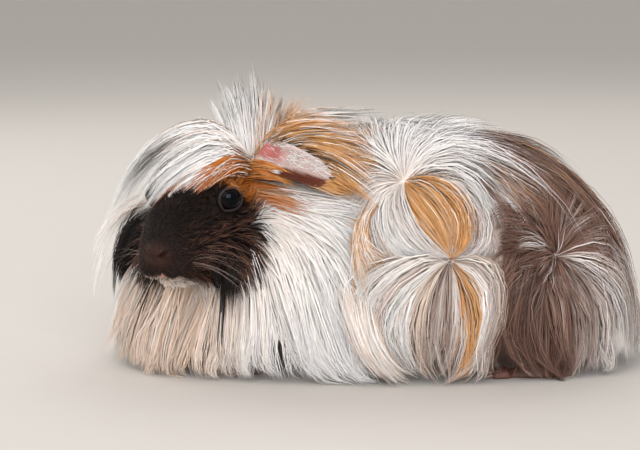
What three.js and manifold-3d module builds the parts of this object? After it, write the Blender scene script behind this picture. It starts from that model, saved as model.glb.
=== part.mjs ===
// A long-haired guinea pig with rosettes in its coat, sitting square on a flat floor and looking round
// over its left shoulder. The solids give the outline of the groomed coat, out to the tips of the hair.
//
// Millimetres. The trunk runs along X with the nose end at -X, the animal's left side faces -Y, and
// the floor is Z = 0. The head is modelled in its own frame: the tip of the nose is the origin,
// +X runs back along the skull, +Y to the animal's right and +Z to the crown.
import * as THREE from "three";
import { mergeVertices } from "three/addons/utils/BufferGeometryUtils.js";
import Module from "manifold-3d";

const wasm = await Module();
wasm.setup();

// ---------------------------------------------------------------- driving dimensions

const GAP = 0.35; // air between neighbouring pieces
const CENTRE = { x: -26.5, y: 3.74 }; // brings the middle of the whole outline over the origin

// The coat of the trunk: a long dome that stands on its hem.
const COAT = {
  front: -101, // foremost hair of the bib
  rear: 154,
  widest: 30, // where along X the hem is widest
  halfWidth: 61,
  height: 116,
  crownOfBack: 52, // where along X the back begins to fall towards the rump
  frontPower: 2.4,
  rearPower: 2.1,
  planPower: { front: 2.15, rear: 2.35 },
  archPower: 2.25,
  hemFlare: 2.5, // how far the tips kick out along the floor
  hemFlareHeight: 9,
};
const BELLY = { height: 17, inset: 0.88 }; // the hollow under the hem, in which the feet stand
const CUTS = { neck: -9, barrel: 42, rump: 88, chest: 52 }; // where the trunk is divided

// Where the coat sinks in: at each rosette, where hair parts in every direction, and under the ear.
const HOLLOWS = {
  saddleRosette: { at: [38, 43, 91], radius: 17, depth: 6.5 },
  flankRosette: { at: [58, 57, 55], radius: 19, depth: 7.5 },
  hipRosette: { at: [105, 46, 58], radius: 17, depth: 7 },
  underEar: { at: [-8, 42, 86], radius: 26, depth: 9 },
};
// Partings in the hem of the left flank, through which the toes show.
const PARTINGS = [
  { x: 82, y: -53, halfWidth: 6, height: 12 },
  { x: -38, y: -49, halfWidth: 6, height: 8 },
];
const LOCKS = { count: 16, depth: 1.3 }; // shallow flutes between the locks of the hem

// The head: where its nose is, how far it is turned and bowed, and the skull's own sections.
const HEAD = {
  nose: [-72, -66, 58.6],
  turn: 63, // degrees from straight ahead towards the left shoulder
  bow: 15, // degrees nose-down
  length: 86,
  nape: 66, // from here back the head closes inside the neck
  bluntness: 9, // how quickly the muzzle reaches its full section
  upperPower: 1.95,
  lowerPower: 2.2,
};
const headWidth = profile([[0, 10.5], [8, 12.8], [18, 16], [30, 19.8], [42, 22.6], [56, 24.4], [86, 22]]);
const headTop = profile([[0, 8], [8, 11], [18, 16], [30, 21], [42, 24.6], [56, 26.6], [86, 24]]);
const headFloor = profile([[0, -9], [8, -14], [18, -17.5], [30, -20.5], [42, -22.5], [86, -22]]);
const furDepth = profile([[0, 0.7], [10, 2], [24, 3], [40, 4], [56, 6], [86, 8]]);
// The extra depth of the cheek hair, which stands further off the right cheek than off the left.
const jowlDepth = profile([[0, 0], [12, 1], [22, 5.5], [34, 9.5], [48, 10.5], [64, 8.5], [86, 3]]);
const RIGHT_JOWL = 1.7;
const HEAD_WAIST = -2; // height of the widest line at the muzzle
const JOWL_DROP = 0.09; // how far that line sinks for each millimetre back

const EYE = { radius: 6.5, back: 38.5, side: 17.6, up: 14.2 };
const EYE_SOCKET = 0.45; // clearance of the ball in its socket
const EYE_RING = { radius: 8.2, out: 4.5 }; // the short fur round the eye, scooped out of the longer
// The wisps in which the hair of the cheeks ends, two on the left and two on the right.
const WISPS = [
  { root: [-37, -38, 66], tip: [-38, -57, 24], bulge: [0, -6, 4], radius: 9 },
  { root: [-45, -42, 62], tip: [-46, -57, 36], bulge: [0, -5, 4], radius: 7 },
  { root: [-82, -20, 62], tip: [-94, -26, 29], bulge: [-2, 0, 2], radius: 7 },
  { root: [-78, -10, 72], tip: [-94, -14, 40], bulge: [-5, 0, 3], radius: 7.5 },
];
const NOSE = { size: [3.6, 7.4, 5.2], back: 1.9, up: 0.8 };
const JAW = { tip: 7, length: 42, halfWidth: 13, up: -17.5, depth: 9 };
const MUZZLE_CUT = 24; // the muzzle ends this far back from the nose

// The left ear is held out and the right one hangs along the cheek: the way from root to tip.
const EAR_HANG = { left: [0.06, 0.92, -0.37], right: [0.3, 0.5, -0.81] };
const EAR = {
  length: 36,
  halfWidth: 8.4,
  thickness: 1.8,
  root: [61, 23, 29],
  facing: [-0.47, 0.37, 0.8], // out of the ear's hollow side
  cup: 3.6,
};

// The forelock falls forward off the crown and the crest stands up on it, from one shared root.
const CROWN = [-30, -22, 101];
const FORELOCK = [
  { root: CROWN, tip: [-98, -22, 74], bulge: [0, 0, 31], radius: 6.5 },
  { root: CROWN, tip: [-95, -8, 84], bulge: [0, 0, 29], radius: 7 },
  { root: CROWN, tip: [-93, -33, 79], bulge: [0, 0, 24], radius: 7 },
  { root: CROWN, tip: [-84, 4, 92], bulge: [0, 0, 24], radius: 7 },
  { root: CROWN, tip: [-80, -41, 80], bulge: [0, 0, 16], radius: 7.5 },
  { root: CROWN, tip: [-68, -47, 86], bulge: [0, 0, 12], radius: 7 },
];
const CREST = [
  { root: CROWN, tip: [-41, -20, 132], bulge: [-4, 0, 4], radius: 6 },
  { root: CROWN, tip: [-33, -26, 134], bulge: [-2, 0, 4], radius: 6 },
  { root: CROWN, tip: [-47, -14, 124], bulge: [-3, 0, 4], radius: 5.5 },
  { root: CROWN, tip: [-25, -15, 129], bulge: [2, 2, 4], radius: 6 },
  { root: CROWN, tip: [-15, -24, 124], bulge: [3, 0, 4], radius: 6 },
  { root: CROWN, tip: [-6, -14, 119], bulge: [3, 2, 4], radius: 5.5 },
];

const FOREFOOT = {
  x: -32,
  y: 32,
  length: 15,
  halfWidth: 6,
  height: 6,
  ankle: 4.6,
  toes: 4,
  toeLength: 7,
  toeRadius: 1.9,
};
const HINDFOOT = {
  x: 99,
  y: 39.5,
  length: 34,
  halfWidth: 6,
  height: 7,
  ankle: 7,
  toes: 3,
  toeLength: 9,
  toeRadius: 2.3,
};
const CLAW = { length: 4.6, radius: 0.95 };

// Steps along and round each form.
const DETAIL = {
  trunk: [36, 26],
  hollow: [14, 18],
  head: [15, 20],
  jaw: [6, 10],
  ear: [8, 8],
  lock: [6, 6],
  ball: [8, 14],
  nostril: [4, 6],
  parting: [6, 8],
  foot: [6, 8],
  toe: [4, 6],
};

// ---------------------------------------------------------------- materials

const COLOURS = {
  white: 0xe9e1d9,
  ginger: 0xc98a4e,
  umber: 0x7b6357,
  sable: 0x2a1d19,
  cream: 0xd9c7b2,
  skin: 0xcf9b8e,
  earSkin: 0xb99188,
  horn: 0xc4a897,
  eye: 0x07070a,
};
const finish = (name, roughness) =>
  new THREE.MeshStandardMaterial({ name, color: COLOURS[name], roughness, metalness: 0 });
const MATERIALS = Object.fromEntries(
  Object.keys(COLOURS).map((name) => [name, finish(name, name === "eye" ? 0.05 : 0.85)]),
);

// ---------------------------------------------------------------- shape helpers

// A smooth function through a few [place, value] pairs, level beyond the first and the last.
function profile(pairs) {
  const [places, values] = [0, 1].map((column) => pairs.map((pair) => pair[column]));
  const curve = new THREE.CubicInterpolant(places, values, 1);
  return (place) => curve.evaluate(place)[0];
}

const vector = (list) => new THREE.Vector3(...list);
const power = (value, exponent) => Math.sign(value) * Math.abs(value) ** exponent;
const lens = (u, exponent) => Math.max(0, 1 - Math.abs(u) ** exponent) ** (1 / exponent);

// A closed form: the grid of a sphere, each point of which moves to at(along, around), where along runs
// from 0 at one pole to 1 at the other and around from 0 to a full turn.
function form(alongSteps, aroundSteps, at) {
  const geometry = new THREE.SphereGeometry(1, aroundSteps, alongSteps);
  const { position, uv } = geometry.attributes;
  for (let i = 0; i < position.count; i++) {
    position.setXYZ(i, ...at(1 - uv.getY(i), uv.getX(i) * 2 * Math.PI));
  }
  return geometry;
}

// The closed solid of a geometry, moved by a matrix.
function solid(geometry, matrix = new THREE.Matrix4()) {
  const bare = geometry.clone().applyMatrix4(matrix);
  bare.deleteAttribute("normal");
  bare.deleteAttribute("uv");
  const merged = mergeVertices(bare, 1e-3);
  const vertProperties = merged.attributes.position.array;
  const triVerts = Uint32Array.from(merged.index.array);
  const made = new wasm.Manifold(new wasm.Mesh({ numProp: 3, vertProperties, triVerts }));
  if (made.volume() > 0) return made;
  return new wasm.Manifold(new wasm.Mesh({ numProp: 3, vertProperties, triVerts: triVerts.reverse() }));
}

const joined = (solids) => solids.reduce((all, one) => all.add(one));
const without = (body, ...cutters) => cutters.reduce((left, cutter) => left.subtract(cutter), body);

// The largest piece of a solid, which drops slivers that a cut leaves behind.
function largest(body) {
  return body.decompose().reduce((best, piece) => (piece.volume() > best.volume() ? piece : best));
}

// A box between two corners, for dividing the trunk.
function block(low, high) {
  const size = vector(high).sub(vector(low));
  const geometry = new THREE.BoxGeometry(size.x, size.y, size.z);
  return solid(geometry, new THREE.Matrix4().setPosition(vector(low).addScaledVector(size, 0.5)));
}

// A tapered lock of hair along a curve: thin at the root, thickest a third of the way and pointed.
function lock(curve, radius, grow = 0) {
  const frames = curve.computeFrenetFrames(DETAIL.lock[0]);
  return solid(form(...DETAIL.lock, (along, around) => {
    const step = Math.round(along * DETAIL.lock[0]);
    const size = (radius + grow) * lens(2 * Math.min(along ** 0.62, 1) - 1, 1.6);
    return curve.getPoint(along)
      .addScaledVector(frames.normals[step], size * Math.cos(around))
      .addScaledVector(frames.binormals[step], size * Math.sin(around))
      .toArray();
  }));
}

// ---------------------------------------------------------------- the head's frame

const headGroup = new THREE.Group();
headGroup.position.set(...HEAD.nose);
headGroup.rotation.set(0, THREE.MathUtils.degToRad(-HEAD.bow), THREE.MathUtils.degToRad(HEAD.turn), "ZYX");
headGroup.updateMatrixWorld(true);
const HEAD_MATRIX = headGroup.matrixWorld.clone();

// ---------------------------------------------------------------- head pieces

// The furred head, grown by a margin, from the nose back into the neck.
function headForm(grow = 0) {
  return solid(form(...DETAIL.head, (along, around) => {
    const back = (HEAD.length * (1 - Math.cos(Math.PI * along))) / 2;
    const cap = lens(1 - Math.min(back / HEAD.bluntness, 1), 2.2);
    const tail = lens(Math.max(0, (back - HEAD.nape) / (HEAD.length - HEAD.nape)), 2);
    const [side, lift] = [Math.sin(around), Math.cos(around)];
    const jowl = 1 - THREE.MathUtils.smoothstep(lift, -0.25, 0.5);
    const fur = furDepth(back) + grow;
    const waist = HEAD_WAIST - JOWL_DROP * back;
    const reach = lift > 0 ? headTop(back) - waist : waist - headFloor(back);
    const bend = 2 / (lift > 0 ? HEAD.upperPower : HEAD.lowerPower);
    const cheek = jowl * jowlDepth(back) * (side > 0 ? RIGHT_JOWL : 1);
    const end = cap * tail;
    return [
      back + (back < HEAD.length / 2 ? -fur : fur) * (1 - end),
      (headWidth(back) + fur + cheek) * power(side, bend) * end,
      waist + (reach + fur) * power(lift, bend) * end,
    ];
  }), HEAD_MATRIX);
}

// An ellipsoid in the head's frame.
function ball(centre, size, grow = 0, [rows, columns] = DETAIL.ball) {
  const matrix = new THREE.Matrix4().makeScale(...vector(size).addScalar(grow)).setPosition(...centre);
  return solid(new THREE.SphereGeometry(1, columns, rows), matrix.premultiply(HEAD_MATRIX));
}

const eyeball = (side, grow = 0) =>
  ball([EYE.back, side * EYE.side, EYE.up], [EYE.radius, EYE.radius, EYE.radius], grow);

// The bowl of short fur in which an eye sits.
const eyeBowl = (side) =>
  ball([EYE.back - 1, side * (EYE.side + EYE_RING.out), EYE.up + 0.5], Array(3).fill(EYE_RING.radius));

// Locks that leave their roots, bulge off the straight line and come to a point.
const locks = (specs, grow = 0) =>
  joined(specs.map(({ root, tip, bulge, radius }) => {
    const middle = vector(root).lerp(vector(tip), 0.45).add(vector(bulge));
    return lock(new THREE.QuadraticBezierCurve3(vector(root), middle, vector(tip)), radius, grow);
  }));

// The bare pad round the nostrils, with both nostrils sunk in it.
function nosePad(grow = 0) {
  const pad = ball([NOSE.back, 0, NOSE.up], NOSE.size, grow);
  if (grow) return pad;
  const nostrils = [-1, 1].map((side) =>
    ball([NOSE.back - 3.2, side * 3.1, NOSE.up - 0.4], [1.6, 1.3, 0.8], 0, DETAIL.nostril),
  );
  return without(pad, ...nostrils);
}

// The lower jaw and chin, tucked under the muzzle.
function lowerJaw(grow = 0) {
  return solid(form(...DETAIL.jaw, (along, around) => {
    const back = (JAW.length * (1 - Math.cos(Math.PI * along))) / 2;
    const size = lens(2 * along - 1, 2.4);
    const widen = 0.55 + 0.45 * along;
    return [
      JAW.tip + back + (along < 0.5 ? -grow : grow) * (1 - size),
      (JAW.halfWidth * widen + grow) * size * Math.sin(around),
      JAW.up - 0.1 * back + (JAW.depth * widen + grow) * size * Math.cos(around),
    ];
  }), HEAD_MATRIX);
}

// One ear: a cupped petal that leaves the side of the crown and droops outwards.
function ear(side, grow = 0) {
  const along = vector(side < 0 ? EAR_HANG.left : EAR_HANG.right).normalize();
  const facing = vector(EAR.facing);
  facing.addScaledVector(along, -facing.dot(along)).normalize();
  const across = new THREE.Vector3().crossVectors(facing, along);
  const mirrored = new THREE.Matrix4().makeScale(1, side, 1);
  return solid(form(...DETAIL.ear, (reach, around) => {
    const half = (EAR.halfWidth + grow) * lens(1.76 * reach - 0.76, 2.7);
    const width = reach === 0 ? 0 : half * Math.cos(around);
    const hollow = EAR.cup * ((width / EAR.halfWidth) ** 2 - 0.6) * (1 - 0.5 * reach);
    const thick = (EAR.thickness / 2 + grow) * Math.sin(around) * Math.sin(Math.PI * reach) ** 0.35;
    return vector(EAR.root)
      .addScaledVector(along, EAR.length * reach + grow * (2 * reach - 1))
      .addScaledVector(across, width)
      .addScaledVector(facing, hollow + thick)
      .toArray();
  }), mirrored.premultiply(HEAD_MATRIX));
}

// ---------------------------------------------------------------- trunk

// How far the coat sinks at a point, alike on both flanks.
function sink(x, y, z) {
  return Object.values(HOLLOWS).reduce((sum, { at, radius, depth }) => {
    const near = Math.hypot(x - at[0], Math.abs(y) - at[1], z - at[2]) / radius;
    return sum + depth * Math.exp(-near * near);
  }, 0);
}

// The dome of the coat, from the foremost hair of the bib to the rump.
function coatDome() {
  const half = (COAT.rear - COAT.front) / 2;
  return solid(form(...DETAIL.trunk, (along, around) => {
    const x = COAT.front + half * (1 - Math.cos(Math.PI * along));
    const [planEnd, planPower] =
      x < COAT.widest ? [COAT.front, COAT.planPower.front] : [COAT.rear, COAT.planPower.rear];
    const width = COAT.halfWidth * lens((x - COAT.widest) / (planEnd - COAT.widest), planPower);
    const topEnd = x < COAT.crownOfBack ? COAT.front : COAT.rear;
    const topPower = x < COAT.crownOfBack ? COAT.frontPower : COAT.rearPower;
    const top = COAT.height * lens((x - COAT.crownOfBack) / (topEnd - COAT.crownOfBack), topPower);
    const [side, lift] = [Math.sin(around), Math.cos(around)];
    const y = width * power(side, 2 / COAT.archPower);
    const z = lift > 0 ? top * power(lift, 2 / COAT.archPower) : 0;
    const fluted = LOCKS.depth * Math.sin(LOCKS.count * along * Math.PI) * Math.abs(side);
    const flare = COAT.hemFlare * Math.max(0, 1 - z / COAT.hemFlareHeight);
    const swell = lift > -0.01 ? (flare + fluted - sink(x, y, z)) * Math.sin(Math.PI * along) ** 0.5 : 0;
    return [x, y + swell * side, z - (lift > 0 ? sink(x, y, z) * 0.5 * lift : 0)];
  }));
}

// The hollow under the belly, ringed by the hanging coat.
function bellyHollow(grow = 0) {
  const middle = (COAT.front + COAT.rear) / 2;
  const reach = ((COAT.rear - COAT.front) / 2) * BELLY.inset;
  return solid(form(...DETAIL.hollow, (along, around) => {
    const x = -reach * Math.cos(Math.PI * along);
    const width = COAT.halfWidth * BELLY.inset * lens(x / reach, COAT.planPower.front);
    const height = (BELLY.height + grow) * lens(x / reach, 5);
    return [middle + x, width * Math.sin(around), height * power(Math.cos(around), 0.4)];
  }));
}

// A gap in the hem in front of one foot.
function parting({ x, y, halfWidth, height }) {
  const [rows, columns] = DETAIL.parting;
  const matrix = new THREE.Matrix4().makeScale(halfWidth, 14, height).setPosition(x, y, 0);
  return solid(new THREE.SphereGeometry(1, columns, rows), matrix);
}

// ---------------------------------------------------------------- legs

// One leg: a foot with toes flat on the floor, and the limb above it up to the belly.
function leg(spec, side) {
  const centre = [spec.x, side * spec.y, 0];
  const foot = solid(form(...DETAIL.foot, (along, around) => {
    const back = spec.length * (along - 0.5);
    const wide = spec.halfWidth * lens(2 * along - 1, 2.6) * (1 - 0.25 * along);
    const tall = spec.height * lens(2 * along - 1, 2.2) * (0.7 + 0.3 * along);
    return [centre[0] + back, centre[1] + wide * Math.sin(around), Math.max(0, tall * Math.cos(around))];
  }));
  const ankle = spec.x + spec.length * 0.22;
  const shin = solid(
    new THREE.CylinderGeometry(spec.ankle * 1.15, spec.ankle, BELLY.height, DETAIL.foot[1]),
    new THREE.Matrix4().makeRotationX(Math.PI / 2).setPosition(ankle, centre[1], BELLY.height / 2 + 1),
  );
  return joined([foot, shin, ...toePlaces(spec, side).map(toe(spec))]).intersect(bellyHollow(-GAP));
}

// Where each toe of a foot leaves it, and how far it is splayed.
function toePlaces(spec, side) {
  return Array.from({ length: spec.toes }, (_, i) => {
    const spread = i / (spec.toes - 1) - 0.5;
    return {
      root: [spec.x - spec.length * 0.4, side * spec.y + spread * spec.halfWidth * 1.5, 0],
      angle: spread * 0.55,
    };
  });
}

// One toe, flat underneath, pointing forward at its own angle.
const toe = (spec) => ({ root, angle }) => {
  const geometry = form(...DETAIL.toe, (along, around) => {
    const size = spec.toeRadius * lens(2 * along - 1, 2.6);
    return [1 - spec.toeLength * along, size * Math.sin(around), Math.max(0, 1.7 * size * Math.cos(around))];
  });
  return solid(geometry, new THREE.Matrix4().makeRotationZ(-angle).setPosition(...root));
};

// A claw: a curved cone that leaves the toe and comes down to the floor.
function claw(spec, { root, angle }, grow = 0) {
  const geometry = form(...DETAIL.toe, (along, around) => {
    const size = (CLAW.radius + grow) * lens(Math.min(along * 1.6, 1) - 1, 2) * (1 - 0.9 * along) ** 0.7;
    const end = along === 0 || along === 1 ? 0 : 1;
    return [
      -spec.toeLength + 1.6 - CLAW.length * along,
      size * end * Math.sin(around),
      Math.max(0.05, CLAW.radius * 1.9 - 1.1 * along * along * CLAW.radius + size * end * Math.cos(around)),
    ];
  });
  return solid(geometry, new THREE.Matrix4().makeRotationZ(-angle).setPosition(...root));
}

// ---------------------------------------------------------------- assembly

const guineaPig = new THREE.Group();
guineaPig.position.set(CENTRE.x, CENTRE.y, 0);
guineaPig.add(headGroup);

// Adds a solid as a named mesh, in the frame of the group that carries it.
function node(name, body, material, parent = guineaPig) {
  const mesh = largest(body).getMesh();
  const geometry = new THREE.BufferGeometry();
  const points = new Float32Array(mesh.numVert * 3);
  for (let i = 0; i < mesh.numVert; i++) {
    points.set(mesh.vertProperties.subarray(i * mesh.numProp, i * mesh.numProp + 3), i * 3);
  }
  geometry.setAttribute("position", new THREE.BufferAttribute(points, 3));
  geometry.setIndex(new THREE.BufferAttribute(mesh.triVerts, 1));
  if (parent === headGroup) geometry.applyMatrix4(HEAD_MATRIX.clone().invert());
  geometry.computeVertexNormals();
  const made = new THREE.Mesh(geometry, MATERIALS[material]);
  made.name = name;
  parent.add(made);
}

const SIDES = [["left", -1], ["right", 1]];
const HUGE = 400;
const eyes = SIDES.map(([, side]) => eyeball(side, EYE_SOCKET));
const headCutter = headForm(GAP).add(locks(WISPS, GAP));
const bowls = SIDES.map(([, side]) => eyeBowl(side));
const furred = headForm();
// The muzzle and the cranium are divided across the skull, just in front of the eyes.
const muzzleBlock = solid(
  new THREE.BoxGeometry(HUGE, HUGE, HUGE),
  new THREE.Matrix4().setPosition(MUZZLE_CUT - HUGE / 2, 0, 0).premultiply(HEAD_MATRIX),
);
const craniumBlock = solid(
  new THREE.BoxGeometry(HUGE, HUGE, HUGE),
  new THREE.Matrix4().setPosition(MUZZLE_CUT + GAP + HUGE / 2, 0, 0).premultiply(HEAD_MATRIX),
);

const muzzle = without(furred.intersect(muzzleBlock), locks(WISPS, GAP), nosePad(GAP));
const cranium = furred.intersect(craniumBlock).add(locks(WISPS));
node("muzzle", without(muzzle, ...eyes, ...bowls), "sable", headGroup);
node("head", without(cranium, ...eyes, ...bowls), "sable", headGroup);
node("nose", nosePad(), "sable", headGroup);
node("lower_jaw", without(lowerJaw(), headCutter), "cream", headGroup);
for (const [name, side] of SIDES) {
  node(`eye_${name}`, eyeball(side), "eye", headGroup);
  node(`ear_${name}`, without(ear(side), headCutter), "earSkin", headGroup);
}

const earCutters = SIDES.map(([, side]) => ear(side, GAP));
const crestCutter = locks(CREST, GAP);
node("forelock", without(locks(FORELOCK), headCutter, crestCutter, ...earCutters), "white");
node("crest", without(locks(CREST), headCutter, ...earCutters), "white");

// The trunk's dome, hollowed under the belly and cleared of the head, then divided.
const headCutters = [headCutter, lowerJaw(GAP), locks(FORELOCK, GAP), crestCutter, ...earCutters];
const trunk = largest(without(coatDome(), bellyHollow(), ...headCutters, ...PARTINGS.map(parting)));
const part = (x0, x1, z0, z1) => trunk.intersect(block([x0, -HUGE, z0], [x1, HUGE, z1]));
node("chest", part(-HUGE, CUTS.neck - GAP, -1, CUTS.chest), "white");
node("neck", part(-HUGE, CUTS.neck - GAP, CUTS.chest + GAP, HUGE), "white");
node("shoulders", part(CUTS.neck, CUTS.barrel - GAP, -1, HUGE), "ginger");
node("barrel", part(CUTS.barrel, CUTS.rump - GAP, -1, HUGE), "cream");
node("rump", part(CUTS.rump, HUGE, -1, HUGE), "umber");

for (const [name, side] of SIDES) {
  for (const [limb, spec] of [["foreleg", FOREFOOT], ["hindleg", HINDFOOT]]) {
    const places = toePlaces(spec, side);
    const clawCutters = places.map((place) => claw(spec, place, GAP));
    node(`${limb}_${name}`, without(leg(spec, side), ...clawCutters), "skin");
    places.forEach((place, i) => node(`claw_${limb}_${name}_${i + 1}`, claw(spec, place), "horn"));
  }
}

export default guineaPig;
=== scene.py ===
import math

import bmesh
import bpy
import numpy as np
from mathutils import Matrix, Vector
from mathutils.kdtree import KDTree


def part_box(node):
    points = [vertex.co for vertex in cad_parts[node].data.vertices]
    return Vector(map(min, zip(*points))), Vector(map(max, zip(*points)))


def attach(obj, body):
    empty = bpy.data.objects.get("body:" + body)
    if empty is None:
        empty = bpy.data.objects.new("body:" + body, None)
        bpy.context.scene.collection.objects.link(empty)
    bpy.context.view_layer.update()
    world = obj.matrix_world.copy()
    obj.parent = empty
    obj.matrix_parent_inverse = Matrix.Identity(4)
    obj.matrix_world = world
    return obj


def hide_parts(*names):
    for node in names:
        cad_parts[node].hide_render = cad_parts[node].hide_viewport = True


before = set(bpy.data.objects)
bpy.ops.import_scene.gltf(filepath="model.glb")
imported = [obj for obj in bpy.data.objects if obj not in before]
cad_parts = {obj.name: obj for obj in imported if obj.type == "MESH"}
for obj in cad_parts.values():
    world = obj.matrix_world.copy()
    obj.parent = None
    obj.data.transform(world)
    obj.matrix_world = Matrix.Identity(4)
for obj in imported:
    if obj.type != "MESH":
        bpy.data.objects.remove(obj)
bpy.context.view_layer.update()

# A long-haired guinea pig with rosettes in its coat, sitting square and looking round over its left shoulder.
#
# Shapes are worked out in the body's own frame, in millimetres: the trunk runs along X with the nose end at
# -X, the left flank faces -Y and the floor is Z = 0. placed() brings them to the frame's metres. The head has
# a frame of its own: the tip of the nose is the origin, +X runs back along the skull, +Y to the animal's
# right and +Z to the crown. One skin lies under the coat, and the coat is closed, three-sided tufts of hair.

bl_info = {
    "name": "Long-haired guinea pig",
    "version": (1, 0, 0),
    "blender": (4, 5, 0),
    "location": "View3D > Sidebar > Guinea pig",
    "description": "Builds the skin, eyes, claws and coat of a rosetted long-haired guinea pig",
    "category": "Object",
}

MM = 0.001
COAT_REAR = 154.0  # the last hair of the rump, along X
SIDES = (("left", -1), ("right", 1))
COLOURS = ("white", "cream", "ginger", "rust", "umber", "sable", "grey")
WHITE, CREAM, GINGER, RUST, UMBER, SABLE, GREY = range(len(COLOURS))


def body_origin():
    """Where the body's own frame lies in the row's frame, in millimetres."""
    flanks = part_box("shoulders")
    return np.array([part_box("rump")[1].x / MM - COAT_REAR, (flanks[0].y + flanks[1].y) / 2 / MM, 0.0])


ORIGIN = body_origin()

# ---------------------------------------------------------------- the body's dimensions

COAT = {
    "front": -101.0,
    "rear": COAT_REAR,
    "half_width": 61.0,
    "height": 116.0,
    "widest": 30.0,  # where along X the hem is widest
    "crown_of_back": 52.0,  # where along X the back is highest
    "power": 2.27,
}
TRUNK = {"front": -64.0, "rear": 138.0, "half_width": 46.0, "top": 102.0, "middle": 55.0, "belly": 19.0}
COAT_DEPTH = 8.0  # the least depth of the skin under the trunk's coat
HEAD_NOSE = np.array([-72.0, -66.0, 58.6])
HEAD_TURN = math.radians(63)
HEAD_BOW = math.radians(15)
HEAD_LENGTH = 86.0
HEAD_WIDTH = ([0, 8, 18, 30, 42, 56, 86], [10.5, 12.8, 16, 19.8, 22.6, 24.4, 22])
HEAD_TOP = ([0, 8, 18, 30, 42, 56, 86], [8, 11, 16, 21, 24.6, 26.6, 24])
HEAD_FLOOR = ([0, 8, 18, 30, 42, 86], [-9, -14, -17.5, -20.5, -22.5, -22])
EYE = {"radius": 6.5, "back": 38.0, "side": 17.6, "up": 14.2}
EYE_FACING = (-0.58, 0.79, 0.2)  # out of the right eye, in the head's frame
EYE_OPENING = math.radians(45.5)  # half the angle of the ball that shows between the lids
LID = 0.65  # thickness of the lids over the ball
CROWN = np.array([-30.0, -22.0, 101.0])
WHORLS = {
    "saddle": {"at": (38, 40.5, 94), "draws": (("flank", 0.95), ("hip", 0.18)), "pit": 4.0},
    "flank": {"at": (59.0, 55, 57), "draws": (("flank_foot", 0.9),), "pit": 5.5},
    "hip": {"at": (110.7, 43.5, 57.4), "draws": (("hip_foot", 0.7),), "pit": 4.5},
}
# Streaks of each whorl: colour, the direction in which they leave it and half their width in degrees
# clockwise from up, their strength, and for the hip how far they reach.
SADDLE_STREAKS = (
    (WHITE, -125, 54, 1.0), (CREAM, -104, 8, 0.7), (GREY, -140, 4, 0.7), (GREY, -160, 5, 0.6),
    (UMBER, -150, 2, 0.4), (WHITE, -170, 8, 1.0), (GINGER, 137, 51, 1.0), (WHITE, 69, 7, 0.9),
    (CREAM, 123, 4, 0.5), (CREAM, 172, 3, 0.5),
)
FLANK_STREAKS = (
    (WHITE, -84, 8, 0.8), (WHITE, -92, 5, 0.8), (GREY, -101, 5, 0.8), (UMBER, -106, 3, 0.5),
    (WHITE, -120, 10, 1.0), (CREAM, -133, 5, 0.8), (UMBER, -148, 11, 0.8), (GREY, -154, 3, 0.6),
    (UMBER, -165, 5, 0.85), (GREY, -178, 8, 0.95), (UMBER, -172, 2.5, 0.7), (GREY, 176, 4, 0.8),
    (GINGER, 166, 7, 1.0), (SABLE, 158, 2.5, 0.45), (GINGER, 149, 8, 1.0), (WHITE, 132, 10, 1.0),
    (GREY, 116, 8, 0.85), (UMBER, 108, 3, 0.6), (GREY, 98, 7, 0.9), (UMBER, 94, 6, 0.3),
    (UMBER, 84, 7, 0.55),
)
HIP_STREAKS = (
    (GREY, -62, 14, 0.6, 7), (WHITE, -66, 6, 0.6, 5), (GREY, -10, 5, 0.6, 10), (GREY, 10, 4, 0.5, 10),
    (GREY, 88, 9, 0.9, 60), (GREY, 106, 8, 0.75, 60), (WHITE, 124, 9, 0.75, 70), (GREY, 142, 6, 0.75, 60),
    (WHITE, 96, 3, 0.8, 60), (WHITE, 112, 3, 0.8, 60), (GREY, 158, 3, 0.5, 60), (GREY, 172, 4, 0.5, 12),
    (GREY, -165, 5, 0.5, 12), (GREY, -136, 9, 0.8, 8), (GREY, -105, 6, 0.6, 12),
)
# Where the hair below a whorl closes in again.
GATHERING_PLACES = {"flank_foot": (51, 60, -6), "hip_foot": (103, 48, -8)}
UNDER_EAR = (-6, 42, 86)  # the coat lies lower where the ear rests on it
FOREFOOT = {
    "x": -32, "y": 32, "length": 15, "half": 6, "height": 6, "ankle": 4.6, "toes": 4, "toe": 7, "thick": 1.9,
}
HINDFOOT = {
    "x": 99, "y": 39.5, "length": 34, "half": 6, "height": 7, "ankle": 7, "toes": 3, "toe": 9, "thick": 2.3,
}
CLAW = {"length": 4.6, "radius": 0.95}
EAR = {"length": 36, "half": 8.4, "thick": 1.3, "root": (61, 23, 29), "cup": 3.6}


def head_axes():
    """Rows: back along the skull, to the animal's right, and to the crown."""
    turn, bow = HEAD_TURN, HEAD_BOW
    back = (math.cos(turn) * math.cos(bow), math.sin(turn) * math.cos(bow), math.sin(bow))
    right = (-math.sin(turn), math.cos(turn), 0)
    crown = (-math.cos(turn) * math.sin(bow), -math.sin(turn) * math.sin(bow), math.cos(bow))
    return np.array([back, right, crown])


HEAD_AXES = head_axes()


# ---------------------------------------------------------------- small helpers

def srgb(code):
    """The linear colour of an sRGB hex code."""
    parts = [int(code[i:i + 2], 16) / 255 for i in (1, 3, 5)]
    return tuple(c / 12.92 if c <= 0.04045 else ((c + 0.055) / 1.055) ** 2.4 for c in parts)


def placed(points):
    return (np.asarray(points, float) + ORIGIN) * MM


def unplaced(points):
    return np.asarray(points, float) / MM - ORIGIN


def from_head(local):
    return HEAD_NOSE + np.asarray(local, float) @ HEAD_AXES


def to_head(points):
    return (np.asarray(points, float) - HEAD_NOSE) @ HEAD_AXES.T


def unit(vectors):
    return vectors / np.maximum(np.linalg.norm(vectors, axis=-1, keepdims=True), 1e-9)


def smooth(low, high, value):
    share = np.clip((value - low) / (high - low), 0, 1)
    return share * share * (3 - 2 * share)


def lens(share, power):
    return np.maximum(0, 1 - np.abs(share) ** power) ** (1 / power)


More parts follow.
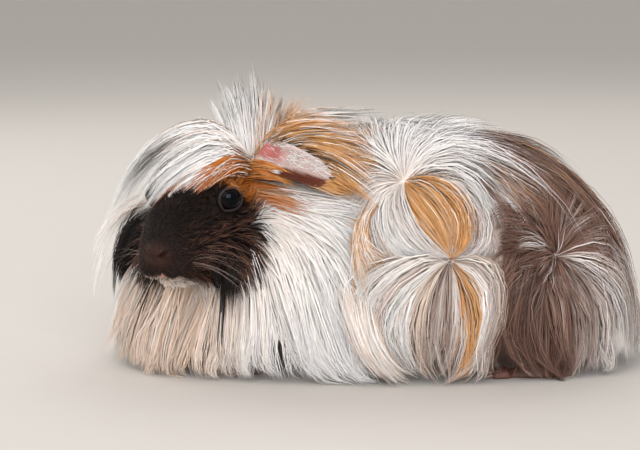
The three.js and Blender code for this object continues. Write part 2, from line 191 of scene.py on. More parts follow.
def bend(value, power):
    return np.sign(value) * np.abs(value) ** power


def dot(a, b):
    return np.sum(a * b, axis=-1, keepdims=True)


def on_right(points, side):
    """The points mirrored to the animal's right; side is -1 for those of its left."""
    return points * np.stack([np.ones(len(points)), side, np.ones(len(points))], axis=1)


def flat_on(vectors, normals):
    """The vectors laid flat on the surface that has those normals."""
    return unit(vectors - dot(vectors, normals) * normals)


# ---------------------------------------------------------------- settings

class GuineaPigSizes(bpy.types.PropertyGroup):
    skin_voxel: bpy.props.FloatProperty(
        name="Skin detail", description="Size of the skin's mesh before the face is refined",
        default=1.35 * MM, unit="LENGTH", subtype="DISTANCE")
    tuft_width: bpy.props.FloatProperty(
        name="Tuft width", description="Width of one tuft of the long coat at its thickest",
        default=0.5 * MM, unit="LENGTH", subtype="DISTANCE")
    coat_length: bpy.props.FloatProperty(
        name="Coat length", description="Length of the hair on the flanks",
        default=54 * MM, unit="LENGTH", subtype="DISTANCE")
    coat_tufts: bpy.props.IntProperty(
        name="Tufts of each coat piece", description="Tufts in each of the eight pieces of the trunk's coat",
        default=4450, min=100, max=6500)
    face_tufts: bpy.props.IntProperty(
        name="Face tufts", description="Short tufts on the face", default=10000, min=100, max=12000)
    camera_distance: bpy.props.FloatProperty(
        name="Camera distance", description="From the camera to the middle of the animal",
        default=0.9, unit="LENGTH", subtype="DISTANCE")


class GuineaPigColours(bpy.types.PropertyGroup):
    white: bpy.props.FloatVectorProperty(
        name="White", description="White hair", subtype="COLOR", default=srgb("#F9F4F1"))
    cream: bpy.props.FloatVectorProperty(
        name="Cream", description="Cream hair", subtype="COLOR", default=srgb("#EAD2BE"))
    ginger: bpy.props.FloatVectorProperty(
        name="Ginger", description="Ginger hair", subtype="COLOR", default=srgb("#E3A468"))
    rust: bpy.props.FloatVectorProperty(
        name="Rust", description="Deep ginger hair of the brow", subtype="COLOR", default=srgb("#C4702C"))
    umber: bpy.props.FloatVectorProperty(
        name="Umber", description="Grey-brown hair of the rump", subtype="COLOR", default=srgb("#846355"))
    sable: bpy.props.FloatVectorProperty(
        name="Sable", description="Black-brown hair of the face", subtype="COLOR", default=srgb("#160C08"))
    grey: bpy.props.FloatVectorProperty(
        name="Grey", description="Pale grey hair", subtype="COLOR", default=srgb("#DDD0C8"))


def palette():
    chosen = bpy.context.scene.guinea_pig_colours
    return np.array([tuple(getattr(chosen, name)) for name in COLOURS])


# ---------------------------------------------------------------- markings

def all_of(colour, count):
    """The mixtures of so many places, each of them one colour only."""
    mix = np.zeros((count, len(COLOURS)))
    mix[:, colour] = 1
    return mix


def paint(mix, colour, share):
    """Lays a colour over a mixture of colours, by a share from 0 to 1."""
    share = np.clip(share, 0, 1)[:, None]
    mix *= 1 - share
    mix[:, colour] += share[:, 0]


def band(angle, middle, half, edge=7.0):
    """1 within half of middle, in degrees round a whorl, falling to 0 over the edge."""
    off = np.abs((angle - middle + 180) % 360 - 180)
    return 1 - smooth(half - edge, half + edge, off)


def whorl_frame(name):
    """A whorl's middle, on the right flank, and the way out of the coat there."""
    middle = np.array(WHORLS[name]["at"], float)
    return middle, coat_depth(middle[None])[1][0]


def whorl_angles(points, name):
    """Degrees clockwise from up, as the flank is looked at, and the distance from the whorl's middle."""
    middle, out = whorl_frame(name)
    away = on_right(points, np.where(points[:, 1] > 0, 1, -1)) - middle
    away = away - (away @ out)[:, None] * out
    height = away[:, 2] + 0.75 * np.maximum(0, -away[:, 1]) * (away[:, 2] > 0)
    return np.degrees(np.arctan2(away[:, 0], height)), np.linalg.norm(away, axis=1)


def trunk_mix(points, noise):
    """The markings of the trunk at these points, as shares of each colour."""
    x, z = points[:, 0], points[:, 2]
    wobble = 5 * (noise - 0.5)
    owner = whorl_owner(points, noise)
    leave = departures(points, owner)

    # The bib, the neck and the strip before the flank.
    mix = all_of(WHITE, len(points))
    # The bib is laid in strong cream: partly the hair's own cream, partly painted warm shade under the head.
    paint(mix, CREAM, 0.9 * (1 - smooth(-50, -20, x)) * (noise > 0.15))
    paint(mix, GINGER, 0.7 * (1 - smooth(-56, -40, x)) * (1 - smooth(24, 50, z)) * (noise < 0.6))
    neck = smooth(-4, 4, z + wobble - np.interp(x, [-40, -15, 0, 10, 24], [92, 88, 83, 79, 77]))
    paint(mix, GINGER, neck * smooth(-52, -40, x + wobble) * (1 - smooth(16, 30, x + 2 * wobble)))
    strip = smooth(6, 12, x + wobble) * (1 - smooth(24, 32, x + wobble)) * (1 - smooth(84, 92, z))
    paint(mix, GINGER, 0.85 * strip * (noise > 0.25))

    # Grey-brown from the back to the rump, and pale again at its end.
    umber_from = 52 + 0.25 * np.maximum(0, 90 - z)
    paint(mix, UMBER, smooth(0, 9, x + 2 * wobble - umber_from) * smooth(20, 40, z + x - 60))
    paint(mix, UMBER, smooth(76, 84, x + wobble))
    warm = smooth(56, 66, z) * smooth(56, 66, x) * (1 - smooth(80, 96, x))
    paint(mix, GINGER, 0.45 * warm * (noise < 0.35))
    paint(mix, GREY, (0.4 + 0.4 * smooth(92, 108, x)) * smooth(60, 80, x) * (noise > 0.8))
    rear = smooth(110, 122, x + wobble) * (1 - smooth(54, 74, z))
    paint(mix, GREY, 0.85 * rear * (noise > 0.1))
    paint(mix, WHITE, rear * (noise > 0.45))

    # The saddle whorl.
    angle, far = whorl_angles(points, "saddle")
    near = 1 - smooth(24, 34, far + 13 * band(angle, 84, 42, 10))
    near = near * (1 - 0.95 * band(angle, -62, 40) * smooth(12, 20, far))
    near = near * (1 - 0.8 * band(angle, -20, 12, 6) * smooth(10, 16, far))
    paint(mix, WHITE, near)
    streaks = far < 60
    for colour, middle, half, share in SADDLE_STREAKS:
        strand = band(leave, middle, half, min(half, 5))
        paint(mix, colour, share * strand * streaks * (owner == 0) * (noise > 0.12))
    dark_line = smooth(9, 18, far) * (owner == 0) * streaks
    paint(mix, SABLE, 0.45 * dark_line * band(leave, 160, 5, 4) * (noise < 0.7))
    paint(mix, GREY, 0.6 * (owner == 0) * band(leave, 62, 20, 6) * smooth(20, 34, far))
    outside = smooth(9, 13, x) * (1 - smooth(23, 30, x + wobble))
    outside = outside * smooth(48, 53, z) * (1 - smooth(72, 82, z))
    paint(mix, GINGER, 0.9 * outside * (noise > 0.2))
    paint(mix, WHITE, (owner == 0) * band(angle, 78, 42, 10) * (1 - smooth(30, 44, far)) * (noise > 0.8))

    # The flank whorl.
    flank = owner == 1
    paint(mix, CREAM, 0.6 * flank)
    for colour, middle, half, share in FLANK_STREAKS:
        strand = band(leave, middle, half, min(half, 4))
        paint(mix, colour, share * flank * strand * ((noise > 0.2) | (share > 0.9)))
    outer = x - np.interp(z, [0, 30, 45, 56], [25, 20, 17, 15]) + 0.6 * wobble
    paint(mix, GINGER, 0.9 * flank * (1 - smooth(4, 8, outer)) * smooth(28, 38, z) * (noise > 0.15))

    # The hip whorl.
    hip = (owner == 2) & (x < 134)
    _, far = whorl_angles(points, "hip")
    paint(mix, UMBER, hip.astype(float))
    paint(mix, SABLE, 0.5 * hip * band(leave, -138, 50) * smooth(12, 20, far) * (noise > 0.4))
    for colour, middle, half, share, reach in HIP_STREAKS:
        strand = band(leave, middle, half, min(half, 5)) * (1 - smooth(reach, reach + 8, far))
        paint(mix, colour, share * hip * strand * (noise > (0.2 if reach > 20 else 0.52)))
    paint(mix, GREY, 0.7 * hip * smooth(110, 124, x + wobble) * (noise > 0.3))
    paint(mix, WHITE, 0.8 * hip * smooth(114, 126, x + wobble) * (noise > 0.7))
    return mix


def head_mix(local, noise):
    """The markings of the head at these points of its own frame."""
    back, side, up = local[:, 0], local[:, 1], local[:, 2]
    wobble = 4 * (noise - 0.5)
    mix = all_of(WHITE, len(local))
    edge = np.interp(up, [-34, -24, -17, -8, 5, 30], [24, 26, 30, 41, 50, 44])
    face = 1 - smooth(-2, 2, back + wobble - edge)
    paint(mix, SABLE, face)
    brow = smooth(-2, 3, up + wobble - np.interp(back, [24, 38, 46, 62, 90], [25, 21, 8, -4, -15]))
    brow = brow * (1 - smooth(52, 60, back + wobble) * (1 - smooth(8, 16, up)))
    brow = brow * np.where(side > 0, smooth(42, 50, back), 1)
    paint(mix, RUST, brow * smooth(22, 32, back + wobble) * smooth(6, 11, np.abs(side)))
    paint(mix, GINGER, 0.8 * brow * (noise > 0.72) * smooth(22, 32, back) * smooth(6, 11, np.abs(side)))
    crown = smooth(48, 58, back + wobble) * smooth(17, 23, up) * (1 - smooth(13, 20, np.abs(side)))
    paint(mix, WHITE, crown)
    jaw = np.interp(back, [0, 4, 14, 26, 44, 60], [-9.5, -10.5, -16, -19, -21, -21])
    jaw = jaw - 12 * smooth(9, 16, np.abs(side))
    chin = 1 - smooth(-3, 1, up + wobble - jaw)
    paint(mix, CREAM, chin)
    paint(mix, WHITE, 0.75 * chin * (noise > 0.25))
    return mix


def in_head(points):
    """Head-frame places of these points, and which of them belong to the head."""
    local = to_head(points)
    back, side, up = local[:, 0], local[:, 1], local[:, 2]
    waist = -2 - 0.09 * back
    tall = np.where(up > waist, np.interp(back, *HEAD_TOP) - waist, waist - np.interp(back, *HEAD_FLOOR)) + 3
    across = side / (np.interp(back, *HEAD_WIDTH) + 3)
    inside = across ** 2 + ((up - waist) / tall) ** 2 < 1
    for _, hand in SIDES:
        inside = inside | (np.linalg.norm(local - eye_axes(hand)[0], axis=1) < 10)
    return local, (back < 58) & inside


def markings(points, noise):
    local, inside = in_head(points)
    mix = trunk_mix(points, noise)
    mix[inside] = head_mix(local[inside], noise[inside])
    return mix


# ---------------------------------------------------------------- the coat's outline

def coat_gauge(points):
    """1 on the outline of the groomed coat, less inside it."""
    x, y, z = points[:, 0], points[:, 1], np.maximum(points[:, 2], 0)
    middle = COAT["widest"] + (COAT["crown_of_back"] - COAT["widest"]) * np.minimum(z / COAT["height"], 1)
    reach = np.where(x < middle, middle - COAT["front"], COAT["rear"] - middle)
    power = COAT["power"]
    total = (np.abs(x - middle) / reach) ** power
    total = total + (np.abs(y) / COAT["half_width"]) ** power + (z / COAT["height"]) ** power
    return np.maximum(total, 1e-9) ** (1 / power)


def coat_depth(points):
    """How deep each point lies under the coat's outline, and the way out."""
    step = 0.5
    rises = [coat_gauge(points + step * axis) - coat_gauge(points - step * axis) for axis in np.eye(3)]
    slope = np.stack(rises, axis=1) / (2 * step)
    steep = np.maximum(np.linalg.norm(slope, axis=1), 1e-4)
    return (1 - coat_gauge(points)) / steep, slope / steep[:, None]


# ---------------------------------------------------------------- forms of the skin

def sphere(rows, columns):
    """A sphere of radius 1, with its faces made again in a set order so that each run gives the same."""
    bm, source = bmesh.new(), bmesh.new()
    bmesh.ops.create_uvsphere(source, u_segments=columns, v_segments=rows, radius=1)
    source.verts.index_update()
    faces = []
    for face in source.faces:
        corners = [v.index for v in face.verts]
        first = corners.index(min(corners)) if len(corners) == 3 else 0
        faces.append(corners[first:] + corners[:first])
    verts = [bm.verts.new(v.co) for v in source.verts]
    for corners in sorted(faces):
        bm.faces.new([verts[i] for i in corners])
    source.free()
    return bm


def form(rows, columns, at):
    """A closed form: a sphere, each vertex of which moves to at(along, around)."""
    bm = sphere(rows, columns)
    ball = np.array([v.co for v in bm.verts])
    along = np.arccos(np.clip(-ball[:, 2], -1, 1)) / math.pi
    around = np.arctan2(ball[:, 1], ball[:, 0])
    for vertex, place in zip(bm.verts, placed(at(along, around))):
        vertex.co = place
    bmesh.ops.recalc_face_normals(bm, faces=bm.faces)
    return bm


def trunk_form():
    half = (TRUNK["rear"] - TRUNK["front"]) / 2

    def at(along, around):
        x = TRUNK["front"] + half * (1 - np.cos(np.pi * along))
        plan_end = np.where(x < COAT["widest"], TRUNK["front"], TRUNK["rear"])
        top_end = np.where(x < COAT["crown_of_back"], TRUNK["front"], TRUNK["rear"])
        width = TRUNK["half_width"] * lens((x - COAT["widest"]) / (plan_end - COAT["widest"]), 2.4)
        rise = lens((x - COAT["crown_of_back"]) / (top_end - COAT["crown_of_back"]), 2.25)
        side, lift = np.sin(around), np.cos(around)
        tall = np.where(lift > 0, TRUNK["top"] - TRUNK["middle"], TRUNK["middle"] - TRUNK["belly"])
        z = TRUNK["middle"] - 9 * (1 - rise) + tall * rise * bend(lift, 0.88)
        return np.stack([x, width * bend(side, 0.88), z], axis=1)

    return form(48, 40, at)


def head_form():
    def at(along, around):
        back = HEAD_LENGTH * (1 - np.cos(np.pi * along)) / 2
        cap = lens(1 - np.minimum(back / 9, 1), 2.2)
        tail = lens(np.maximum(0, (back - 66) / (HEAD_LENGTH - 66)), 2)
        side, lift = np.sin(around), np.cos(around)
        waist = -2 - 0.09 * back
        upper = lift > 0
        reach = np.where(upper, np.interp(back, *HEAD_TOP) - waist, waist - np.interp(back, *HEAD_FLOOR))
        power = np.where(upper, 2 / 1.95, 2 / 2.2)
        end = cap * tail
        return from_head(np.stack([
            back,
            np.interp(back, *HEAD_WIDTH) * bend(side, power) * end,
            waist + reach * bend(lift, power) * end,
        ], axis=1))

    return form(44, 40, at)


def lump(centre, size, in_head_frame=True):
    """An ellipsoid, in the head's frame or the body's."""
    def at(along, around):
        ring = np.sin(np.pi * along)
        ball = np.stack([-np.cos(np.pi * along), ring * np.sin(around), ring * np.cos(around)], axis=1)
        local = np.array(centre) + ball * np.array(size)
        return from_head(local) if in_head_frame else local

    return form(16, 18, at)


def ear_axes(side):
    """The ear's way from root to tip, out of its hollow side, and across it, in the head's frame."""
    along = unit(np.array([0.06, 0.92, -0.37] if side < 0 else [0.3, 0.5, -0.81]))
    facing = np.array([-0.47, 0.37, 0.8])
    facing = unit(facing - facing @ along * along)
    return along, facing, np.cross(facing, along)


def ear_measures(local, side):
    """How far each point lies along an ear, across it from -1 to 1, and out of its hollow side."""
    along, facing, across = ear_axes(side)
    away = local * np.array([1, side, 1]) - np.array(EAR["root"])
    return (away @ along) / EAR["length"], (away @ across) / EAR["half"], away @ facing


def ear_place(side, reach, share, height):
    """The point of an ear that has these measures."""
    along, facing, across = ear_axes(side)
    half = EAR["half"] * lens(1.76 * reach - 0.76, 2.7)
    width = half * share
    hollow = EAR["cup"] * ((width / EAR["half"]) ** 2 - 0.6) * (1 - 0.5 * reach)
    ripple = 0.5 * np.sin(9 * reach + 2 * share) * np.abs(share) ** 3
    local = np.array(EAR["root"]) + np.outer(EAR["length"] * reach, along) + np.outer(width, across)
    local = local + np.outer(hollow + height + ripple, facing)
    return from_head(local * np.array([1, side, 1]))


def ear_form(side):
    def at(along, around):
        thick = EAR["thick"] / 2 * np.sin(around) * np.sin(np.pi * along) ** 0.35
        rim = 1 + 0.25 * smooth(0.75, 1, np.abs(np.cos(around)))
        share = np.cos(around) * np.sin(np.pi * np.clip(along * 8, 0, 0.5))
        return ear_place(side, along, share, thick * rim)

    return form(34, 30, at)


def foot_forms(spec, side):
    """The foot, the limb above it and its toes, as forms to be melted into one."""
    cx, cy = spec["x"], side * spec["y"]

    def sole(along, around):
        back = spec["length"] * (along - 0.5)
        wide = spec["half"] * lens(2 * along - 1, 2.6) * (1 - 0.25 * along)
        tall = spec["height"] * lens(2 * along - 1, 2.2) * (0.7 + 0.3 * along)
        lift = np.maximum(0.1, tall * np.cos(around))
        return np.stack([cx + back, cy + wide * np.sin(around), lift], axis=1)

    def shin(along, around):
        ring = spec["ankle"] * (1 + 0.3 * along) * lens(2 * along - 1, 6)
        return np.stack([
            cx + spec["length"] * 0.22 + ring * np.cos(around),
            cy - side * 9 * along + ring * np.sin(around) * 0.9,
            2 + 26 * along,
        ], axis=1)

    forms = [form(16, 18, sole), form(14, 16, shin)]
    for root, angle in toe_places(spec, side):
        def toe(along, around, root=root, angle=angle):
            size = spec["thick"] * lens(2 * along - 1, 2.6) * (1 + 0.12 * np.sin(2.5 * np.pi * along))
            forward = 1 - spec["toe"] * along
            lift = np.maximum(0.1, 1.7 * size * np.cos(around))
            return splayed(root, angle, forward, size * np.sin(around), lift)

        forms.append(form(14, 12, toe))
    return forms


def toe_places(spec, side):
    """The root of each toe on the floor and the angle at which it is splayed."""
    x = spec["x"] - spec["length"] * 0.4
    spread = np.linspace(-0.5, 0.5, spec["toes"])
    return [((x, side * spec["y"] + share * spec["half"] * 1.5), share * 0.55) for share in spread]


def splayed(root, angle, forward, across, lift):
    """Places forward of a toe's root and across it, turned by its angle."""
    cos, sin = math.cos(angle), math.sin(angle)
    x = root[0] + forward * cos + across * sin
    return np.stack([x, root[1] - forward * sin + across * cos, lift], axis=1)


def poured(bm, other):
    """Adds one form to another and frees it."""
    part = bpy.data.meshes.new("part")
    other.to_mesh(part)
    other.free()
    bm.from_mesh(part)
    bpy.data.meshes.remove(part)


def mesh_of(name, bm):
    """The form as a smooth mesh; the form is freed."""
    mesh = bpy.data.meshes.new(name)
    bm.to_mesh(mesh)
    bm.free()
    mesh.shade_smooth()
    return mesh


def melted(name, forms, voxel, smoothing):
    """One closed mesh round several overlapping forms."""
    joined = bmesh.new()
    for one in forms:
        poured(joined, one)
    mesh = mesh_of(name, joined)
    obj = bpy.data.objects.new(name, mesh)
    bpy.context.scene.collection.objects.link(obj)
    remesh = obj.modifiers.new("melt", "REMESH")
    remesh.mode = "VOXEL"
    remesh.voxel_size = voxel
    relax = obj.modifiers.new("relax", "SMOOTH")
    relax.factor = 0.5
    relax.iterations = smoothing
    graph = bpy.context.evaluated_depsgraph_get()
    made = bmesh.new()
    made.from_object(obj, graph)
    bpy.data.objects.remove(obj)
    bpy.data.meshes.remove(mesh)
    return made


def sunk_in_coat(points):
    """Presses in whatever skin of the trunk would lie too near the surface of the coat."""
    _, on_head = in_head(points)
    for _ in range(3):
        depth, out = coat_depth(points)
        points = points - out * (np.clip(COAT_DEPTH - depth, 0, 12) * ~on_head)[:, None]
    return points


def refine(bm, centres, radius, rounds):
    """Splits the edges near some places, so that small folds can be shaped there."""
    for turn in range(rounds):
        spots = [Vector(p) for p in placed(centres)]
        reach = (radius - 1.5 * turn) * MM
        close = {v for v in bm.verts if any((v.co - spot).length < reach for spot in spots)}
        edges = [e for e in bm.edges if e.verts[0] in close and e.verts[1] in close]
        bmesh.ops.subdivide_edges(bm, edges=edges, cuts=1, use_grid_fill=True, smooth=0.6)


def eye_axes(side):
    centre = np.array([EYE["back"], side * EYE["side"], EYE["up"]])
    facing = unit(np.array([EYE_FACING[0], side * EYE_FACING[1], EYE_FACING[2]]))
    return centre, facing


def eye_polar(local, side):
    """Distance from the middle of an eye, angle off its facing, and angle round it from the front."""
    centre, facing = eye_axes(side)
    away = local - centre
    far = np.linalg.norm(away, axis=1)
    off = np.arccos(np.clip(away @ facing / np.maximum(far, 1e-6), -1, 1))
    front = unit(np.array([-1.0, 0, 0]) + facing[0] * facing)
    up = np.cross(front, facing) * -side
    return far, off, np.arctan2(away @ up, away @ front)


def eye_opening(round_eye):
    """The half angle of the opening: a circle drawn out into a small corner, low in front."""
    corner = (round_eye + math.radians(38) + np.pi) % (2 * np.pi) - np.pi
    drawn_out = math.radians(9) * np.exp(-(corner / 0.32) ** 2)
    return EYE_OPENING + math.radians(3) * np.cos(2 * round_eye) + drawn_out


def shape_lids(local, side):
    """Moves skin near an eye into a socket with a raised rim round the ball."""
    far, off, turn = eye_polar(local, side)
    centre, _ = eye_axes(side)
    opening = eye_opening(turn)
    radius = EYE["radius"]
    past = off - opening
    rim = radius + LID * (0.55 + 0.6 * np.exp(-((past - 0.14) / 0.13) ** 2))
    fold = 0.5 * np.exp(-((past - 0.46) / 0.1) ** 2)
    hold = 1 - smooth(0.55, 1.15, past)
    lidded = rim * hold + far * (1 - hold) - fold
    lidded = np.where(past > 0.5, np.maximum(lidded, np.minimum(far, radius + 3)), lidded)
    lidded = np.minimum(np.maximum(lidded, radius + 0.15), np.maximum(far, rim))
    socket = np.where(past < 0, radius - 1.4, lidded)
    touched = (far < 13) & (off < opening + 1.25)
    away = unit(local - centre)
    return np.where(touched[:, None], centre + away * socket[:, None], local)


def groove(local, points, half_width, depth):
    """How deep a groove along a few points cuts at each place."""
    nearest = np.full(len(local), 1e9)
    for a, b in zip(points[:-1], points[1:]):
        a, b = np.array(a, float), np.array(b, float)
        share = np.clip((local - a) @ (b - a) / ((b - a) @ (b - a)), 0, 1)
        nearest = np.minimum(nearest, np.linalg.norm(local - a - share[:, None] * (b - a), axis=1))
    return depth * np.exp(-(nearest / half_width) ** 2)


NOSTRIL = [(-0.9, 3.0, 0.4), (-0.8, 4.5, 1.6), (0.3, 6.2, 3.0)]
PHILTRUM = [(-1.5, 0, 1.2), (-1.5, 0, -2), (0, 0, -5.5), (2.4, 0, -9.2)]
LIPS = [(2.4, 0, -9.2), (4.4, 4, -11.6), (8, 8, -14.6), (13, 11.5, -17.4)]


def mirrored(points):
    return [(x, -y, z) for x, y, z in points]


def shape_muzzle(local, normals):
    """Sinks the nostrils, the cleft under the nose and the line of the mouth."""
    sunk = groove(local, PHILTRUM, 0.75, 0.9)
    for line in (LIPS, mirrored(LIPS)):
        sunk = np.maximum(sunk, groove(local, line, 0.8, 1.5))
    swell = np.zeros(len(local))
    for line in (NOSTRIL, mirrored(NOSTRIL)):
        sunk = np.maximum(sunk, groove(local, line, 0.95, 3.0))
        raised = [(x - 0.2, y * 1.18, z + 1.1) for x, y, z in line]
        swell = np.maximum(swell, groove(local, raised, 1.1, 0.7))
    return local + normals * (swell - sunk)[:, None]


# Swellings of the skin: the middle and the half sizes of each. Those of neck and haunch are in the body's
# frame, the others in the head's.
NECK_LUMPS = (((-22, -6, 62), (40, 33, 34)), ((-48, -16, 44), (22, 24, 22)))
PAIRED_LUMPS = (
    ((EYE["back"] + 0.5, 14.6, EYE["up"] - 0.2), (10.5, 8.2, 9.2)),  # round the eye
    ((9.5, 6.2, -6.5), (9.5, 7.2, 7)),  # whisker pad
    ((40, 17, -10), (17, 9, 12)),  # cheek
    ((62, 20, 24), (8, 6, 8)),  # root of the ear
)
MUZZLE_LUMPS = (((2.1, 0, 1.2), (3.4, 7.2, 4.8)), ((17, 0, -14.8), (10, 7.5, 5)))  # nose and chin
HAUNCH = ((99, 30, 34), (26, 15, 22))


def skin_mesh():
    sizes = bpy.context.scene.guinea_pig_sizes
    forms = [trunk_form(), head_form()]
    forms += [lump(centre, size, in_head_frame=False) for centre, size in NECK_LUMPS]
    for _, side in SIDES:
        forms += [lump((x, side * y, z), size) for (x, y, z), size in PAIRED_LUMPS]
        forms.append(lump((HAUNCH[0][0], side * HAUNCH[0][1], HAUNCH[0][2]), HAUNCH[1], in_head_frame=False))
    forms += [lump(centre, size) for centre, size in MUZZLE_LUMPS]
    skin = melted("skin", forms, sizes.skin_voxel, 7)

    nose, lips = np.array([0, 0, 0.5]), np.array([5, 0, -11])
    spots = [eye_axes(side)[0] + 5 * eye_axes(side)[1] for _, side in SIDES]
    refine(skin, from_head(np.array([*spots, nose, lips])), 12, 2)
    skin.normal_update()
    points = unplaced([v.co for v in skin.verts])
    normals = np.array([v.normal for v in skin.verts]) @ HEAD_AXES.T
    local = shape_muzzle(to_head(sunk_in_coat(points)), normals)
    for _, side in SIDES:
        local = shape_lids(local, side)
    for vertex, place in zip(skin.verts, placed(from_head(local))):
        vertex.co = place
    limbs = [part for _, side in SIDES for spec in (FOREFOOT, HINDFOOT) for part in foot_forms(spec, side)]
    extras = [melted("limbs", limbs, 0.8 * MM, 3), *[ear_form(side) for _, side in SIDES]]
    for extra in extras:
        poured(skin, extra)
    bmesh.ops.triangulate(skin, faces=skin.faces)
    return mesh_of("skin", skin)


# ---------------------------------------------------------------- materials

def add_node(tree, kind, settings=None, **links):
    """Adds a node with its settings. Its inputs, named or numbered like i0, are linked or given values."""
    node = tree.nodes.new("ShaderNode" + kind)
    for key, value in (settings or {}).items():
        setattr(node, key, value)
    for key, value in links.items():
        numbered = key[0] == "i" and key[1:].isdigit()
        socket = node.inputs[int(key[1:]) if numbered else key.replace("_", " ")]
        if isinstance(value, bpy.types.NodeSocket):
            tree.links.new(value, socket)
        else:
            socket.default_value = value
    return node


def attribute(tree, name, output="Fac"):
    return add_node(tree, "Attribute", {"attribute_name": name}).outputs[output]


def grain(tree, scale, detail):
    """A noise fixed to the object, of so many waves to the metre."""
    place = add_node(tree, "TexCoord").outputs["Object"]
    return add_node(tree, "TexNoise", Vector=place, Scale=scale, Detail=detail).outputs["Fac"]


def ranged(tree, value, low, high, start=0.0, end=1.0):
    """A value between start and end, brought to one between low and high."""
    node = add_node(tree, "MapRange", Value=value, From_Min=start, From_Max=end, To_Min=low, To_Max=high)
    return node.outputs["Result"]


def shaded(tree, colour, strength):
    """A colour made darker or lighter."""
    return add_node(tree, "VectorMath", {"operation": "SCALE"}, i0=colour, Scale=strength).outputs["Vector"]


def ramped(tree, value, *stops):
    """The colour at a value from 0 to 1, blended between stops of (value, colour)."""
    ramp = add_node(tree, "ValToRGB", i0=value)
    for stop, _ in stops[1:-1]:
        ramp.color_ramp.elements.new(stop)
    for element, (stop, colour) in zip(ramp.color_ramp.elements, stops):
        element.position = stop
        element.color = (*colour, 1)
    return ramp.outputs["Color"]


def bumped(tree, height, strength, distance):
    return add_node(tree, "Bump", Height=height, Strength=strength, Distance=distance).outputs["Normal"]


def new_material(name):
    material = bpy.data.materials.new(name)
    material.use_nodes = True
    material.node_tree.nodes.clear()
    return material, material.node_tree


def finish_material(tree, shader):
    add_node(tree, "OutputMaterial", Surface=shader.outputs["BSDF"])


def hair_material():
    """Clean, brushed keratin hair: a soft satin along each tuft, its colour carried by the tuft itself."""
    material, tree = new_material("brushed_guard_hair")
    streaks = grain(tree, 420.0, 3.0)
    colour = shaded(tree, attribute(tree, "tint", "Color"), ranged(tree, streaks, 0.93, 1.05, 0.3, 0.7))
    shader = add_node(tree, "BsdfPrincipled", Base_Color=colour, Roughness=ranged(tree, streaks, 0.42, 0.62),
                      IOR=1.55)
    shader.inputs["Specular IOR Level"].default_value = 0.15
    finish_material(tree, shader)
    return material


def skin_material():
    """Living skin: bare and faintly moist on ears, lips and toes, matt under the coat elsewhere."""
    material, tree = new_material("fine_furred_skin")
    mottle = grain(tree, 180.0, 5.0)
    colour = shaded(tree, attribute(tree, "tint", "Color"), ranged(tree, mottle, 0.82, 1.12, 0.3, 0.7))
    rough = ranged(tree, attribute(tree, "bare"), 0.75, 0.42)
    normal = bumped(tree, grain(tree, 1500.0, 4.0), 0.35, 0.4 * MM)
    shader = add_node(tree, "BsdfPrincipled", Base_Color=colour, Roughness=rough, Normal=normal, IOR=1.45)
    shader.inputs["Specular IOR Level"].default_value = 0.25
    shader.inputs["Subsurface Weight"].default_value = 0.12
    shader.inputs["Subsurface Radius"].default_value = (1.0, 0.35, 0.2)
    shader.inputs["Subsurface Scale"].default_value = 1.2 * MM
    finish_material(tree, shader)
    return material


def eye_material():
    """A wet, near-black eye: a deep brown iris under a clear, polished cornea."""
    material, tree = new_material("wet_dark_eye")
    stops = ((0.0, "#020203"), (0.42, "#030305"), (0.56, "#0D0706"), (0.72, "#120A07"), (0.8, "#0A0707"))
    iris = ramped(tree, attribute(tree, "off_axis"), *[(angle, srgb(code)) for angle, code in stops])
    colour = shaded(tree, iris, ranged(tree, grain(tree, 900.0, 4.0), 0.6, 1.4))
    shader = add_node(tree, "BsdfPrincipled", Base_Color=colour, Roughness=0.03, IOR=1.376)
    shader.inputs["Specular IOR Level"].default_value = 0.18
    # The reflections are tinted blue: a painted reflection of a blue sky.
    shader.inputs["Specular Tint"].default_value = (0.8, 0.9, 1.0, 1)
    finish_material(tree, shader)
    return material


def claw_material():
    """Horn: brown keratin, growing in fine bands."""
    material, tree = new_material("pale_horn")
    bands = grain(tree, 700.0, 2.0)
    colour = ramped(tree, bands, (0.0, srgb("#6E5444")), (1.0, srgb("#A58A76")))
    normal = bumped(tree, bands, 0.2, 0.1 * MM)
    shader = add_node(tree, "BsdfPrincipled", Base_Color=colour, Roughness=0.35, Normal=normal, IOR=1.54)
    finish_material(tree, shader)
    return material


def floor_material():
    """A sweep of matt pale paper."""
    material, tree = new_material("pale_paper_floor")
    paper = srgb("#CFC8C0")
    colour = ramped(tree, grain(tree, 60.0, 3.0), (0.0, [c * 0.97 for c in paper]), (1.0, paper))
    shader = add_node(tree, "BsdfPrincipled", Base_Color=colour, Roughness=0.9)
    finish_material(tree, shader)
    return material


# ---------------------------------------------------------------- pieces

def new_piece(name, mesh, material, slot, *nodes):
    """A finished piece: it rides on the root, takes its material and stands for CAD nodes. Its slot is not
    used.
    """
    obj = bpy.data.objects.new(name, mesh)
    bpy.context.scene.collection.objects.link(obj)
    mesh.materials.append(material)
    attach(obj, "root")
    if nodes:
        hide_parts(*nodes)
    return obj


MATERIAL_NAMES = {
    hair_material: "brushed_guard_hair",
    eye_material: "wet_dark_eye",
    claw_material: "pale_horn",
}


def shared(make):
    """A material made once and shared by name."""
    return bpy.data.materials.get(MATERIAL_NAMES[make]) or make()


def new_coat(name, tufts, slot, *nodes, **look):
    """A finished piece of the coat."""
    return new_piece(name, tuft_mesh(name, tufts, **look), shared(hair_material), slot, *nodes)


def set_attribute(mesh, name, kind, values):
    attribute = mesh.attributes.new(name, kind, "POINT")
    key = "color" if kind == "FLOAT_COLOR" else "value"
    attribute.data.foreach_set(key, np.asarray(values, np.float32).ravel())


def with_alpha(colours):
    return np.concatenate([colours, np.ones((len(colours), 1))], axis=1)


def vertex_array(mesh):
    points = np.zeros(len(mesh.vertices) * 3, np.float32)
    mesh.vertices.foreach_get("co", points)
    return points.reshape(-1, 3).astype(float)


